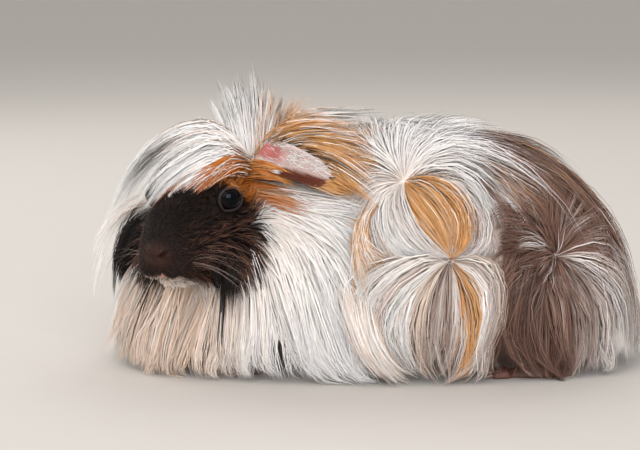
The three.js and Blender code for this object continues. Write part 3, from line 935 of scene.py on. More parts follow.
def cell_noise(points, size, seed):
    """Smooth pseudo-random values from 0 to 1, by summing a few waves of a given size."""
    rng = np.random.default_rng(seed)
    total = np.zeros(len(points))
    for _ in range(9):
        wave = unit(rng.normal(size=3)) * (2 * np.pi / size) * rng.uniform(0.6, 1.6)
        total += np.sin(points @ wave + rng.uniform(0, 6.28))
    return 0.5 + 0.5 * np.tanh(total / 3)


def paint_skin(mesh):
    points = unplaced(vertex_array(mesh))
    colours = palette()
    noise = cell_noise(points, 9, 5)
    mix = markings(points, noise)
    tint = mix @ colours * 0.95
    bare = np.zeros(len(points))
    local = to_head(points)

    def lay(colour, share):
        nonlocal tint, bare
        share = np.clip(share, 0, 1)
        tint = tint * (1 - share[:, None]) + np.array(colour) * share[:, None]
        bare = np.maximum(bare, share)

    pad = np.exp(-(np.linalg.norm((local - [0, 0, 0.6]) / [4.5, 7.5, 5.5], axis=1)) ** 4)
    lay(srgb("#3E241B"), 0.85 * pad)
    # Painted shade: the cleft under the nose and the nostrils darken where they sink.
    lay(srgb("#120907"), 1.2 * groove(local, PHILTRUM, 0.8, 1.0))
    for line in (NOSTRIL, mirrored(NOSTRIL)):
        lay(srgb("#060303"), groove(local, line, 1.2, 1.6))
    for line in (LIPS, mirrored(LIPS)):
        lower = [(x + 0.4, y * 0.96, z - 1.7) for x, y, z in line]
        lay(srgb("#C98D80"), 1.2 * groove(local, lower, 1.8, 1.0))
        # Painted shade in the crease of the mouth.
        lay(srgb("#3A1F1B"), groove(local, line, 0.55, 1.0))
    for _, side in SIDES:
        far, off, turn = eye_polar(local, side)
        past = off - eye_opening(turn)
        rim = np.exp(-((past - 0.07) / 0.075) ** 2) * (far < 9.5)
        lay(srgb("#30282A"), rim)
    # The feet under the coat are painted a dark umber, partly their own colour and partly painted shade, and
    # the toes a pink darkened as painted shade.
    feet = (points[:, 2] < 17) & (np.abs(points[:, 1]) > 20)
    feet = feet & ((np.abs(points[:, 0] - HINDFOOT["x"]) < 26) | (np.abs(points[:, 0] - FOREFOOT["x"]) < 16))
    lay(colours[UMBER] * 0.6, feet.astype(float))
    for spec in (FOREFOOT, HINDFOOT):
        ahead = spec["x"] - 0.32 * spec["length"] - points[:, 0]
        lay(srgb("#6E4A40"), feet * smooth(-2, 1, ahead) * (ahead < spec["toe"] + 6))
    for _, side in SIDES:
        paint_ear(local, side, lay)
    set_attribute(mesh, "tint", "FLOAT_COLOR", with_alpha(tint))
    set_attribute(mesh, "bare", "FLOAT", bare)


def paint_ear(local, side, lay):
    """Red in the hollow of the root, pale down the middle, dark along the lower lobe, palest at the rim."""
    reach, share, height = ear_measures(local, side)
    here = ((reach > 0.02) & (reach < 1.05) & (np.abs(share) < 1.25) & (np.abs(height) < 6)).astype(float)
    wobble = 0.06 * (cell_noise(local, 5, 3) - 0.5)
    lay(srgb("#C2A69E"), here)
    hollow = (1 - smooth(0.22, 0.4, reach)) * (1 - smooth(0.25, 0.7, np.abs(share + 0.25)))
    lay(srgb("#B56662"), here * hollow)
    lobe = smooth(-0.1, 0.1, share - 0.15 + 0.5 * (reach - 0.7) + wobble) * smooth(0.34, 0.44, reach)
    lay(srgb("#5A2A1C"), here * lobe)
    rim = smooth(0.72, 0.95, -share) * smooth(0.05, 0.15, reach) * (1 - smooth(0.8, 0.95, reach))
    lay(srgb("#E6CBC4"), here * rim)


# ---------------------------------------------------------------- tufts

TUFT_POINTS = 6  # along each tuft of the long coat


class Tufts:
    """Hairs gathered into fine tufts: a path for each, with the way up at each point, a width and colours."""

    def __init__(self, paths, ups, widths, root_colour, tip_colour, seed):
        self.arrays = (paths, ups, widths, root_colour, tip_colour)
        self.seed = seed

    def only(self, kept):
        return Tufts(*[values[kept] for values in self.arrays], self.seed)

    @staticmethod
    def joined(several):
        """Several lots of tufts with the same number of points each."""
        return Tufts(*[np.concatenate(lots) for lots in zip(*[tufts.arrays for tufts in several])],
                     several[0].seed)


def tuft_mesh(name, tufts, softness=0.88, shade_power=0.5):
    """Closed, three-sided tapering tufts, joined into one mesh with their colours and their bake map.

    softness turns the shading from each tuft's own facets towards the lie of the whole lock.
    """
    paths, ups, widths, root_colour, tip_colour = tufts.arrays
    count, points = paths.shape[:2]
    rng = np.random.default_rng(tufts.seed + 77)
    ahead = unit(np.gradient(paths, axis=1))
    side = unit(np.cross(ahead, ups))
    up = np.cross(side, ahead)
    level = unit(ups - dot(ups, ahead) * ahead)
    roll = rng.normal(0, 0.22, (count, 1, 1))
    side, up = side * np.cos(roll) + up * np.sin(roll), up * np.cos(roll) - side * np.sin(roll)
    share = np.linspace(0, 1, points)
    body = (0.55 + 0.45 * np.sin(np.pi * np.clip(share * 1.3, 0, 1) ** 0.7)) * (1 - share ** 2.6) + 0.02
    half = (widths[:, None] * body[None, :] / 2)[:, :, None]
    corners = np.stack([
        paths - side * half - up * half * 0.12,
        paths + side * half - up * half * 0.12,
        paths + up * half * 0.34,
    ], axis=2)
    rings = corners[:, :-1].reshape(count, -1, 3)
    vertices = np.concatenate([rings, paths[:, -1:]], axis=1)
    per = vertices.shape[1]

    quads = []
    for ring in range(points - 2):
        for a in range(3):
            b = (a + 1) % 3
            quads.append([ring * 3 + b, ring * 3 + a, ring * 3 + 3 + a, ring * 3 + 3 + b])
    last = (points - 2) * 3
    triangles = [[last + (a + 1) % 3, last + a, per - 1] for a in range(3)] + [[0, 1, 2]]
    loops = np.array([i for face in quads + triangles for i in face])
    sizes = np.array([4] * len(quads) + [3] * len(triangles))
    all_loops = (loops[None, :] + per * np.arange(count)[:, None]).ravel()
    totals = np.tile(sizes, count)
    starts = np.concatenate([[0], np.cumsum(totals)[:-1]])

    mesh = bpy.data.meshes.new(name)
    mesh.vertices.add(count * per)
    mesh.vertices.foreach_set("co", placed(vertices).astype(np.float32).ravel())
    mesh.loops.add(len(all_loops))
    mesh.loops.foreach_set("vertex_index", all_loops.astype(np.int32))
    mesh.polygons.add(len(totals))
    mesh.polygons.foreach_set("loop_start", starts.astype(np.int32))
    mesh.polygons.foreach_set("loop_total", totals.astype(np.int32))
    mesh.update(calc_edges=True)
    mesh.shade_smooth()
    facing = np.stack([-side * 0.9 - up * 0.4, side * 0.9 - up * 0.4, up], axis=2)
    facing = unit(facing * (1 - softness) + level[:, :, None] * softness)
    facing = np.concatenate([facing[:, :-1].reshape(count, -1, 3), level[:, -1:]], axis=1)
    mesh.normals_split_custom_set_from_vertices(facing.reshape(-1, 3).tolist())

    # Colour runs from the root's, which carries painted shade, to the tip's.
    along = np.append(np.repeat(share[:-1], 3), 1.0)
    blend = (along ** shade_power)[None, :, None]
    tint = root_colour[:, None] * (1 - blend) + tip_colour[:, None] * blend
    set_attribute(mesh, "tint", "FLOAT_COLOR", with_alpha(tint.reshape(-1, 3)))
    add_bake_map(mesh, paths[:, 0], along, all_loops, per)
    return mesh


BAKE_PATCH = 0.003  # the width of a tuft's patch on the bake map


def add_bake_map(mesh, roots, along, all_loops, per):
    """Each tuft is a small patch at its root's place on an unwrap of the body: along it and round it."""
    low, high = roots[:, 0].min(), roots[:, 0].max()
    around = np.arctan2(roots[:, 1], roots[:, 2] - TRUNK["middle"]) / (2 * np.pi) + 0.5
    first, last = around.min(), around.max()
    u = 0.01 + 0.975 * (roots[:, 0] - low) / max(high - low, 1e-6)
    v = 0.01 + 0.975 * (around - first) / max(last - first, 1e-6)
    across = np.append(np.tile([0.0, 0.5, 1.0], (per - 1) // 3), 0.5)
    patch = BAKE_PATCH * np.stack([along, across], axis=1)
    coordinates = np.stack([u, v], axis=1)[:, None, :] + patch[None, :, :]
    layer = mesh.uv_layers.new(name="OFBake")
    layer.uv.foreach_set("vector", coordinates.reshape(-1, 2)[all_loops].astype(np.float32).ravel())


class Surface:
    """The skin's triangles, from which roots are drawn."""

    def __init__(self):
        mesh = bpy.data.objects["skin"].data
        mesh.calc_loop_triangles()
        corners = np.zeros(len(mesh.loop_triangles) * 3, np.int32)
        mesh.loop_triangles.foreach_get("vertices", corners)
        self.corners = corners.reshape(-1, 3)
        self.points = unplaced(vertex_array(mesh))
        normals = np.zeros(len(mesh.vertices) * 3, np.float32)
        mesh.vertices.foreach_get("normal", normals)
        self.normals = normals.reshape(-1, 3).astype(float)
        a, b, c = (self.points[self.corners[:, i]] for i in range(3))
        self.areas = np.linalg.norm(np.cross(b - a, c - a), axis=1) / 2
        self.middles = (a + b + c) / 3
        self.facing = unit(self.normals[self.corners].mean(axis=1))

    def draw(self, count, density, rng):
        """Roots and their normals, count of them, thicker where density(middles, facing) is larger."""
        weight = self.areas * density(self.middles, self.facing)
        ends = np.cumsum(weight)
        chosen = np.searchsorted(ends, rng.uniform(0, ends[-1], count))
        one, two = rng.uniform(size=(2, count, 1))
        flip = one + two > 1
        one, two = np.where(flip, 1 - one, one), np.where(flip, 1 - two, two)
        corners = self.corners[chosen].T
        shares = (1 - one - two, one, two)
        points, normals = [sum(values[corner] * share for corner, share in zip(corners, shares))
                           for values in (self.points, self.normals)]
        return points, unit(normals)


def looked_up(table, values, wanted):
    """Values given at the rising places of a table, found row by row at the wanted places."""
    index = np.clip((table[:, None, :] <= wanted[:, :, None]).sum(axis=2) - 1, 0, table.shape[1] - 2)
    rows = np.arange(len(table))[:, None]
    start, end = table[rows, index], table[rows, index + 1]
    share = np.clip((wanted - start) / np.maximum(end - start, 1e-6), 0, 1)[:, :, None]
    return values[rows, index] * (1 - share) + values[rows, index + 1] * share


def run_along(track):
    """The length of each track up to each of its points."""
    steps = np.linalg.norm(np.diff(track, axis=1), axis=2)
    return np.concatenate([np.zeros((len(track), 1)), np.cumsum(steps, axis=1)], axis=1)


def resampled(track, lengths, points, starts=0.0):
    """Tracks cut to their lengths and drawn again with a few evenly spaced points."""
    so_far = run_along(track)
    lengths = np.minimum(lengths, so_far[:, -1])
    starts = np.minimum(starts, 0.5 * lengths)
    wanted = starts[:, None] + (lengths - starts)[:, None] * np.linspace(0, 1, points)[None, :]
    return looked_up(so_far, track, wanted)


def eased(paths, ups, points):
    """Paths and their ways up drawn again with few points, closest together where a path bends most."""
    so_far = run_along(paths)
    bend = np.linalg.norm(np.diff(unit(np.diff(paths, axis=1)), axis=1), axis=2)
    bend = np.pad(bend, ((0, 0), (1, 1)))
    turned = np.cumsum((bend[:, 1:] + bend[:, :-1]) / 2, axis=1)
    measure = so_far + 14 * np.pad(turned, ((0, 0), (1, 0)))
    wanted = measure[:, -1:] * np.linspace(0, 1, points)[None, :]
    both = looked_up(measure, np.concatenate([paths, ups], axis=2), wanted)
    return both[:, :, :3], unit(both[:, :, 3:])


def smoothed(track):
    """Takes the corners off tracks and keeps their ends."""
    for _ in range(3):
        track[:, 1:-1] = 0.25 * track[:, :-2] + 0.5 * track[:, 1:-1] + 0.25 * track[:, 2:]
    return track


def gathered(paths, ups, tightness, spacing, rng):
    """Draws the tips of neighbouring tufts together, as the hair of a long coat gathers into locks.

    Gives the paths, the way up rounded over each lock, and the number of each tuft's lock.
    """
    count = len(paths)
    guides = rng.choice(count, max(2, count // spacing), replace=False)
    tree = KDTree(len(guides))
    for i, g in enumerate(guides):
        tree.insert(Vector(paths[g, 2]), i)
    tree.balance()
    lock = np.array([tree.find(Vector(p))[1] for p in paths[:, 2]])
    lead = paths[guides[lock]]
    own_way, lead_way = unit(paths[:, -1] - paths[:, 1]), unit(lead[:, -1] - lead[:, 1])
    alike = np.clip((dot(own_way, lead_way)[:, 0] - 0.8) / 0.15, 0, 1)
    share = np.linspace(0, 1, paths.shape[1])[None, :] ** 1.4
    pull = (tightness * rng.uniform(0.6, 1.1, count) * alike)[:, None] * share
    off = paths - lead
    ahead = unit(np.gradient(paths, axis=1))
    off = off - dot(off, ahead) * ahead - dot(off, ups) * ups
    size = max(np.median(np.linalg.norm(off[:, 2], axis=1)), 0.3)
    tilt = off / size * (alike[:, None] * np.linspace(0.25, 0.8, paths.shape[1]))[:, :, None]
    tilt = tilt / np.maximum(1, np.linalg.norm(tilt, axis=2, keepdims=True))
    return paths + (lead - paths) * np.clip(pull, 0, 0.93)[:, :, None], unit(ups + 0.5 * tilt), lock


# ---------------------------------------------------------------- the lie of the trunk's coat

def whorl_owner(points, noise):
    """The number of the whorl that each root grows from, or -1 for none."""
    jitter = 4 * (noise - 0.5)
    x, z = points[:, 0] + jitter, points[:, 2] + jitter
    turns, gaps = zip(*[whorl_angles(points, name) for name in WHORLS])
    owner = np.full(len(points), -1)
    saddle = (x > 25) | ((gaps[0] < 28 + jitter) & (x > 14) & (z > 69))
    owner[saddle] = 0
    level = points[:, 2] + 0.3 * jitter
    under_flank = (level < 56.3) & (x > np.interp(level, [0, 30, 56], [20, 13, 8])) & (x < 82)
    owner[under_flank | (gaps[1] < 2.5)] = 1
    under_hip = (z < 57) & (x >= 81) & (x < 139)
    round_hip = (gaps[2] < 17 + jitter) | ((gaps[2] < 26) & (np.abs(turns[2] + 75) < 36))
    owner[under_hip | round_hip] = 2
    return owner


def resting_lie(points):
    """How the coat lies away from the whorls: back along the spine, down the flanks, forward on the bib."""
    x, z = points[:, 0], points[:, 2]
    behind = smooth(20, 50, x)
    back_front = np.interp(z, [0, 25, 50, 66, 78, 90], [0.32, 0.32, 0.4, 0.75, 1, 1])
    back_front = back_front * smooth(-50 + 0.3 * (80 - z), -30 + 0.45 * np.maximum(0, 75 - z), x)
    back_rear = np.interp(z, [0, 30, 60, 80], [0.1, 0.25, 0.7, 1])
    forward = 0.6 * (1 - smooth(-62, -42, x)) * smooth(4, 26, z)
    down_front = np.interp(z, [50, 62, 76, 90], [1, 0.8, 0.4, 0.06])
    down_rear = np.interp(z, [40, 70, 100], [1, 0.55, 0.3])
    backward = back_front * (1 - behind) + back_rear * behind - forward
    down = down_front * (1 - behind) + down_rear * behind
    out = np.sign(points[:, 1]) * (0.08 + 0.25 * smooth(88, 108, z))
    strength = 0.02 + 0.03 * (1 - smooth(8, 45, z)) + 0.015 * smooth(75, 120, x)
    return unit(np.stack([backward, out, -down], axis=1)) * strength[:, None]


def pole(points, side, place, out):
    """A field straight away from a place on the flank, along the surface, weaker with distance."""
    x, y, z = place
    away = points - np.stack([np.full(len(points), x), side * y, np.full(len(points), z)], axis=1)
    near = np.linalg.norm(away, axis=1, keepdims=True) < 34
    away = np.where(near, away - dot(away, out) * out, away)
    return away / (dot(away, away) + 1.5)


def coat_lie(points, owner, side, out):
    """The way that the hair runs at each point, before it is laid on the surface."""
    x, z = points[:, 0], points[:, 2]
    calm = 0.1 + 0.95 * smooth(60, 92, x + 0.5 * np.maximum(0, z - 90))
    rest = np.where(owner < 0, 1.0, np.where(owner == 0, calm, 0.25))
    field = resting_lie(points) * rest[:, None]
    for number, (name, whorl) in enumerate(WHORLS.items()):
        mine = (owner == number)[:, None]
        field = field + mine * pole(points, side, whorl["at"], out)
        for place, strength in whorl["draws"]:
            where = GATHERING_PLACES.get(place) or WHORLS[place]["at"]
            field = field - mine * strength * pole(points, side, where, out)
    for name, number, ahead, behind in (("flank", 1, (34, 52), (10, 22)), ("hip", 2, (22, 40), (26, 44))):
        mine = owner == number
        off = x - WHORLS[name]["at"][0]
        wall = smooth(*ahead, -off) - smooth(*behind, off)
        field[:, 0] += 0.03 * wall * mine
        field[:, 2] -= 0.03 * np.abs(wall) * mine
        wide = np.where(off < 0, -1.0, 0.3) * smooth(5, 16, np.abs(off))
        field[:, 0] += 0.016 * wide * (smooth(36, 50, z) - 1.2 * (1 - smooth(12, 30, z))) * mine
    return field


def departures(points, owner):
    """The direction in which each strand left its whorl, in degrees clockwise from up.

    The lie is followed back from the strand's root to the whorl.
    """
    place = points.copy()
    side = np.where(points[:, 1] > 0, 1.0, -1.0)
    depth, out = coat_depth(place)
    start = depth
    leave = np.zeros(len(points))
    for _ in range(44):
        far = np.full(len(points), 99.0)
        for number, name in enumerate(WHORLS):
            angle, gap = whorl_angles(place, name)
            mine = owner == number
            leave[mine], far[mine] = angle[mine], gap[mine]
        way = flat_on(coat_lie(place, owner, side, out), out)
        place = place - way * np.where((far > 3) & (owner >= 0), 1.5, 0.0)[:, None]
        depth, out = coat_depth(place)
        place = place + out * (depth - start)[:, None]
    return leave


def pits(points, side):
    """How much lower the coat lies at its whorls and under the ears."""
    total = np.zeros(len(points))
    right = on_right(points, side)
    for whorl in WHORLS.values():
        gap = np.linalg.norm(right - whorl["at"], axis=1)
        total += whorl["pit"] * np.exp(-(gap / 13) ** 2)
    gap = np.linalg.norm(right - UNDER_EAR, axis=1)
    return total + 7 * np.exp(-(gap / 20) ** 2)


def combed(roots, owner, lengths, layers, rise, rng):
    """Tracks of hairs laid over the trunk: each rises from its root to its own layer of the coat."""
    steps = 26
    side = np.where(roots[:, 1] > 0, 1.0, -1.0)
    points = roots.copy()
    depth, out = coat_depth(points)
    start = depth.copy()
    track = [points.copy()]
    stride = lengths / steps
    floor = rng.uniform(0.5, 3.0, len(roots)) ** 1.2
    landed = np.full(len(roots), np.inf)
    drift = rng.normal(0, 0.002, (len(roots), 3))
    for step in range(1, steps + 1):
        way = flat_on(coat_lie(points, owner, side, out) + drift, out)
        points = points + way * stride[:, None]
        depth, out = coat_depth(points)
        run = step * stride
        wanted = layers + pits(points, side)
        wanted = wanted + (start - wanted) * np.exp(-((run / rise) ** 1.4))
        climb = stride * np.where(run < 10, 2.5, 1.0)
        points = points + out * np.clip(depth - wanted, -climb, climb)[:, None]
        low = points[:, 2] < floor
        landed = np.where(low & np.isinf(landed), run, landed)
        points[:, 2] = np.maximum(points[:, 2], floor)
        points[:, :2] += (out[:, :2] * 0.5 + [0.25, 0]) * (low * stride)[:, None]
        track.append(points.copy())
    ragged = 15 * (cell_noise(roots, 8, 14) - 0.55) + rng.uniform(0, 5, len(roots))
    reach = np.minimum(lengths, landed + np.maximum(ragged, -9))
    return smoothed(np.stack(track, axis=1)), reach


def in_face(points):
    """Points that would lie in front of the face."""
    local = to_head(points)
    back, side, up = local[..., 0], np.abs(local[..., 1]), local[..., 2]
    wide = np.interp(back, *HEAD_WIDTH) + 16
    return (back < 49) & (side < wide) & (up > -14) & (up < 40)


def over_ear(points):
    """Points that would cover the open side of an ear."""
    local = to_head(points)
    covered = np.zeros(local.shape[:-1], bool)
    for _, side in SIDES:
        reach, share, height = ear_measures(local, side)
        covered |= (reach > 0.03) & (reach < 1.04) & (np.abs(share) < 1.2) & (height > -1.5) & (height < 32)
    return covered


def whorl_crowding(points):
    """Roots are thicker round the whorls, where the hair parts in every direction."""
    total = np.ones(len(points))
    for name in WHORLS:
        _, far = whorl_angles(points, name)
        total += 9 * np.exp(-(far / 3.2) ** 2) + 2.2 * np.exp(-(far / 12) ** 2)
    return total


def trunk_lengths(roots, owner, rng):
    """The length of each hair, and whether it is one of the long white plume over the rump."""
    sizes = bpy.context.scene.guinea_pig_sizes
    x, z = roots[:, 0], roots[:, 2]
    length = np.full(len(roots), sizes.coat_length / MM)
    curtain = smooth(-50, -30, x) * (1 - smooth(14, 26, x)) * smooth(40, 62, z) * (1 - smooth(84, 94, z))
    length = length * (1 + 0.35 * curtain)
    angle, far = whorl_angles(roots, "saddle")
    left = (owner == 0) & (np.abs(angle + 95) < 62)
    length = np.where(left, 1.1 * length, length)
    length = np.where((owner == 0) & (np.abs(angle + 5) < 38), 0.62 * length, length)
    length = np.where((owner == 0) & (np.abs(angle - 78) < 50) & (far < 20), 0.6 * length, length)
    plume = (owner == 0) & (far < 12) & (np.abs(angle - 54) < 28) & (rng.uniform(size=len(roots)) < 0.4)
    angle, far = whorl_angles(roots, "flank")
    length = np.where(owner == 1, 1.12 * length, length)
    length = np.where((owner == 1) & ((np.abs(angle) < 80) | (z > 57)), 7, length)
    outer = (owner == 1) & (x < np.interp(z, [0, 30, 45, 56], [30, 26, 23, 21])) & (z > 34)
    length = np.where(outer, 0.5 * length, length)
    local, inside = in_head(roots)
    temple = inside & (local[:, 0] > 44) & (local[:, 2] > -8)
    length = np.where(temple, 0.4 * length, length)
    angle, far = whorl_angles(roots, "hip")
    length = np.where((owner == 2) & (np.abs(angle + 15) < 65), 0.4 * length, length)
    pale_side = np.abs(angle - 115) < 35
    near_hip = np.minimum(length, np.interp(far, [0, 12, 20], [15, 20, 70]))
    length = np.where((owner == 2) & ~pale_side, near_hip, length)
    length = np.where(plume, rng.uniform(74, 112, len(roots)), length * rng.uniform(0.82, 1.14, len(roots)))
    return length, plume


def stopped(track, reach, length, owner, rng):
    """Cuts hairs short where they meet the neighbouring flow of the coat."""
    steps = track.shape[1] - 1

    def cut(stops, slack):
        first = np.where(stops.any(axis=1), stops.argmax(axis=1) / steps * length, np.inf)
        return np.minimum(reach, np.maximum(first + rng.uniform(-slack, slack, len(track)), 4))

    for number, name in enumerate(WHORLS):
        _, gap = whorl_angles(track.reshape(-1, 3), name)
        gap = gap.reshape(track.shape[:2])
        near = {"flank": 2.2, "hip": 11.0, "saddle": 10.0}[name]
        stops = (gap < near) & (gap[:, :1] > near + 1) & (owner != number)[:, None]
        reach = cut(stops, 0.6 if name == "flank" else 3)
    places = [15, 26, 76, 84, 96, 105, 114, 122, 130, 134]
    level = np.interp(track[:, :, 0], places, [54, 56, 56, 62, 66, 72, 72, 62, 30, -9])
    reach = cut((track[:, :, 2] < level) & (track[:, :1, 2] > level[:, :1]) & (owner == 0)[:, None], 2)
    past = ((owner == 1)[:, None] & (track[:, :, 0] > 86)) | ((owner == 2)[:, None] & (track[:, :, 0] < 79))
    reach = cut(past & (track[:, :, 2] < 70), 2)
    verge = np.interp(track[:, :, 2], [0, 30, 55, 80, 95], [33, 22, 15, 16, 25])
    before = (owner < 0) & (track[:, 0, 0] < verge[:, 0])
    reach = cut((track[:, :, 0] > verge) & before[:, None], 5)
    frizz = (owner < 0) & ~before & (track[:, 0, 0] < 30)
    reach = np.where(frizz, np.minimum(reach, rng.uniform(6, 17, len(track))), reach)
    brink = np.interp(track[:, :, 2], [50, 60, 74, 84, 92], [24, 22, 20, 15, 9])
    reach = cut((track[:, :, 0] < brink) & (owner == 0)[:, None], 5)
    between_whorls = (np.abs(track[:, :, 0] - 82) < 6) & (np.abs(track[:, :, 2] - 62.5) < 8.5)
    reach = cut(between_whorls & (owner == 0)[:, None], 4)
    above = (track[:, :, 2] > 58.5) & (np.abs(track[:, :, 0] - WHORLS["flank"]["at"][0]) > 8)
    return cut(above & (owner == 1)[:, None], 1.5)


def trunk_tufts(surface, count, zone, seed):
    """The tufts of one piece of the trunk's coat. zone(points) is 1 where its roots may be."""
    sizes = bpy.context.scene.guinea_pig_sizes
    rng = np.random.default_rng(seed)

    def density(points, facing):
        local, inside = in_head(points)
        nape = ~inside | ((local[:, 0] > 53) & (local[:, 2] < 26))
        belly = (facing[:, 2] < -0.45) & (points[:, 2] < 40)
        low = points[:, 2] > 17
        frizz = smooth(10, 15, points[:, 0]) * (1 - smooth(24, 30, points[:, 0]))
        frizz = frizz * smooth(38, 48, points[:, 2])
        thick = whorl_crowding(points) + 1.5 * frizz * (1 - smooth(74, 84, points[:, 2]))
        return zone(points) * nape * low * np.where(belly, 0.08, 1.0) * thick

    roots, _ = surface.draw(int(count * 1.3), density, rng)
    noise = cell_noise(roots, 9, 12)
    owner = whorl_owner(roots, noise)
    length, plume = trunk_lengths(roots, owner, rng)
    chance = rng.uniform(size=len(roots))
    layers = rng.uniform(0, 1, len(roots)) ** 0.8 * 6.5 - 0.4
    layers = np.where(chance < 0.03, -rng.uniform(0.5, 3.5, len(roots)), layers)
    layers = np.where(plume, rng.uniform(-1.5, 0.5, len(roots)), layers)
    gaps = np.stack([whorl_angles(roots, name)[1] for name in WHORLS] + [np.full(len(roots), 99.0)])
    own_gap = gaps[owner, np.arange(len(roots))]
    layers = np.where((owner > 0) & (own_gap < 16), 0.5 * layers - 1.0, layers)
    rise = np.where(roots[:, 0] < -30, 0.42, 0.3) * np.minimum(length, 60)
    rise = np.minimum(rise, 1.5 + 0.7 * own_gap)
    track, reach = combed(roots, owner, length, layers, rise, rng)

    crosses = in_face(track[:, 5:]).any(axis=1) | over_ear(track[:, 2:]).any(axis=1)
    keep = ~crosses & (np.linalg.norm(track[:, -1] - track[:, 0], axis=1) > 3)
    reach = stopped(track, reach, length, owner, rng)
    chosen = np.flatnonzero(keep)[:count]
    paths = resampled(track[chosen], reach[chosen], 11)
    roots = roots[chosen]
    paths = swayed(paths)
    _, up = coat_depth(paths.reshape(-1, 3))
    paths, up, lock = gathered(paths, up.reshape(paths.shape), 0.7, 26, rng)
    paths, up = eased(paths, up, TUFT_POINTS)
    frizz = smooth(12, 16, roots[:, 0]) * (1 - smooth(24, 30, roots[:, 0])) * (owner[chosen] < 0)
    paths = ruffled(paths, rng, (0.14 + 0.7 * frizz)[:, None, None])
    curl = rng.normal(0, 1, (lock.max() + 1, 3))[lock] * [3.2, 1.4, 1.0]
    paths = paths + curl[:, None] * (1 - smooth(1, 15, paths[:, :, 2]))[:, :, None]
    paths[:, :, 2] = np.maximum(paths[:, :, 2], 0.45)
    noise = np.clip(0.6 * cell_noise(paths[:, 2], 6, 11) + 0.4 * rng.uniform(size=len(roots)), 0, 1)
    mix = trunk_mix(paths[:, 0], noise)
    local, inside = in_head(roots)
    mix[inside] = head_mix(local[inside], noise[inside])
    mix[plume[chosen]] = all_of(WHITE, 1)
    root, tip = hair_colours(mix, rng)
    tone = rng.uniform(0.92, 1.03, (lock.max() + 1, 1))[lock]
    widths = sizes.tuft_width / MM * rng.uniform(0.6, 1.25, len(roots)) * np.where(roots[:, 0] < 8, 1.2, 1)
    return Tufts(paths, up, widths, root * tone, tip * tone, seed)


def swayed(paths):
    """Long shallow waves across the coat, shared by neighbouring tufts."""
    ahead = unit(np.gradient(paths, axis=1))
    _, up = coat_depth(paths.reshape(-1, 3))
    across = unit(np.cross(ahead, up.reshape(paths.shape)))
    share = np.linspace(0, 1, paths.shape[1])[None, :]
    phase = 12 * cell_noise(paths[:, 1], 16, 21)[:, None]
    turns = 4.2 + 2.5 * cell_noise(paths[:, 1], 25, 22)[:, None]
    span = np.linalg.norm(paths[:, -1] - paths[:, 0], axis=1)[:, None]
    wave = (np.sin(share * turns + phase) - np.sin(phase)) * share * span * 0.035
    return paths + across * wave[:, :, None]


def ruffled(paths, rng, amount):
    """Waves of about a millimetre along each tuft, with a few stray tufts that stand off the rest."""
    count, points = paths.shape[:2]
    share = np.linspace(0, 1, points)[None, :, None]
    phase = rng.uniform(0, 6.28, (count, 1, 3))
    stray = (rng.uniform(size=(count, 1, 1)) < 0.025) * rng.uniform(1.0, 3.0, (count, 1, 1))
    wave = np.sin(share * rng.uniform(3, 7, (count, 1, 3)) + phase) - np.sin(phase)
    return paths + wave * share * (amount + stray)


def hair_colours(mix, rng):
    """Root and tip colours of each tuft: every hair differs a little, and roots are deeper in tone, partly
    their own and partly painted shade deep in the coat, warm under pale hair.
    """
    colours = palette()
    base = mix @ colours
    count = len(mix)
    dark = (mix[:, SABLE] + 0.35 * mix[:, UMBER])[:, None]
    tone = np.exp(rng.normal(0, 1, (count, 1)) * (0.05 + 0.33 * dark))
    tone = tone * (1 + rng.normal(0, 0.025, (count, 3)))
    tip = np.clip(base * tone * 1.03, 0, 0.95)
    # Painted shade between the tufts: roots of pale hair take a warm beige, others fall to 0.6 of their
    # colour.
    pale = (mix[:, WHITE] + 0.7 * mix[:, CREAM] + 0.5 * mix[:, GREY])[:, None]
    warm = np.array(srgb("#E9CFB6")) / np.array(srgb("#F8F3EE"))
    depth = pale * (0.5 + 0.5 * warm) + (1 - pale) * 0.6
    root = np.clip(base * depth, 0, 0.9)
    return root, tip


# ---------------------------------------------------------------- tufts of the head

def short_tufts(roots, normals, ways, lengths, lifts, droop, widths, colours, seed, points=4):
    """Short tufts that leave the skin at their own lift and bend over under their weight."""
    share = np.linspace(0, 1, points)[None, :, None]
    rise = np.sin(lifts)[:, None, None] * normals[:, None] * (share - 0.45 * share ** 2) * 1.4
    run = np.cos(lifts)[:, None, None] * ways[:, None] * share
    fall = droop[:, None, None] * share ** 2 * np.array([0, 0, -1.0])
    paths = roots[:, None] + lengths[:, None, None] * (rise + run + fall)
    paths[:, 0] -= normals * 0.3
    ups = np.repeat(normals[:, None], points, axis=1)
    return Tufts(paths, ups, widths, colours[0], colours[1], seed)


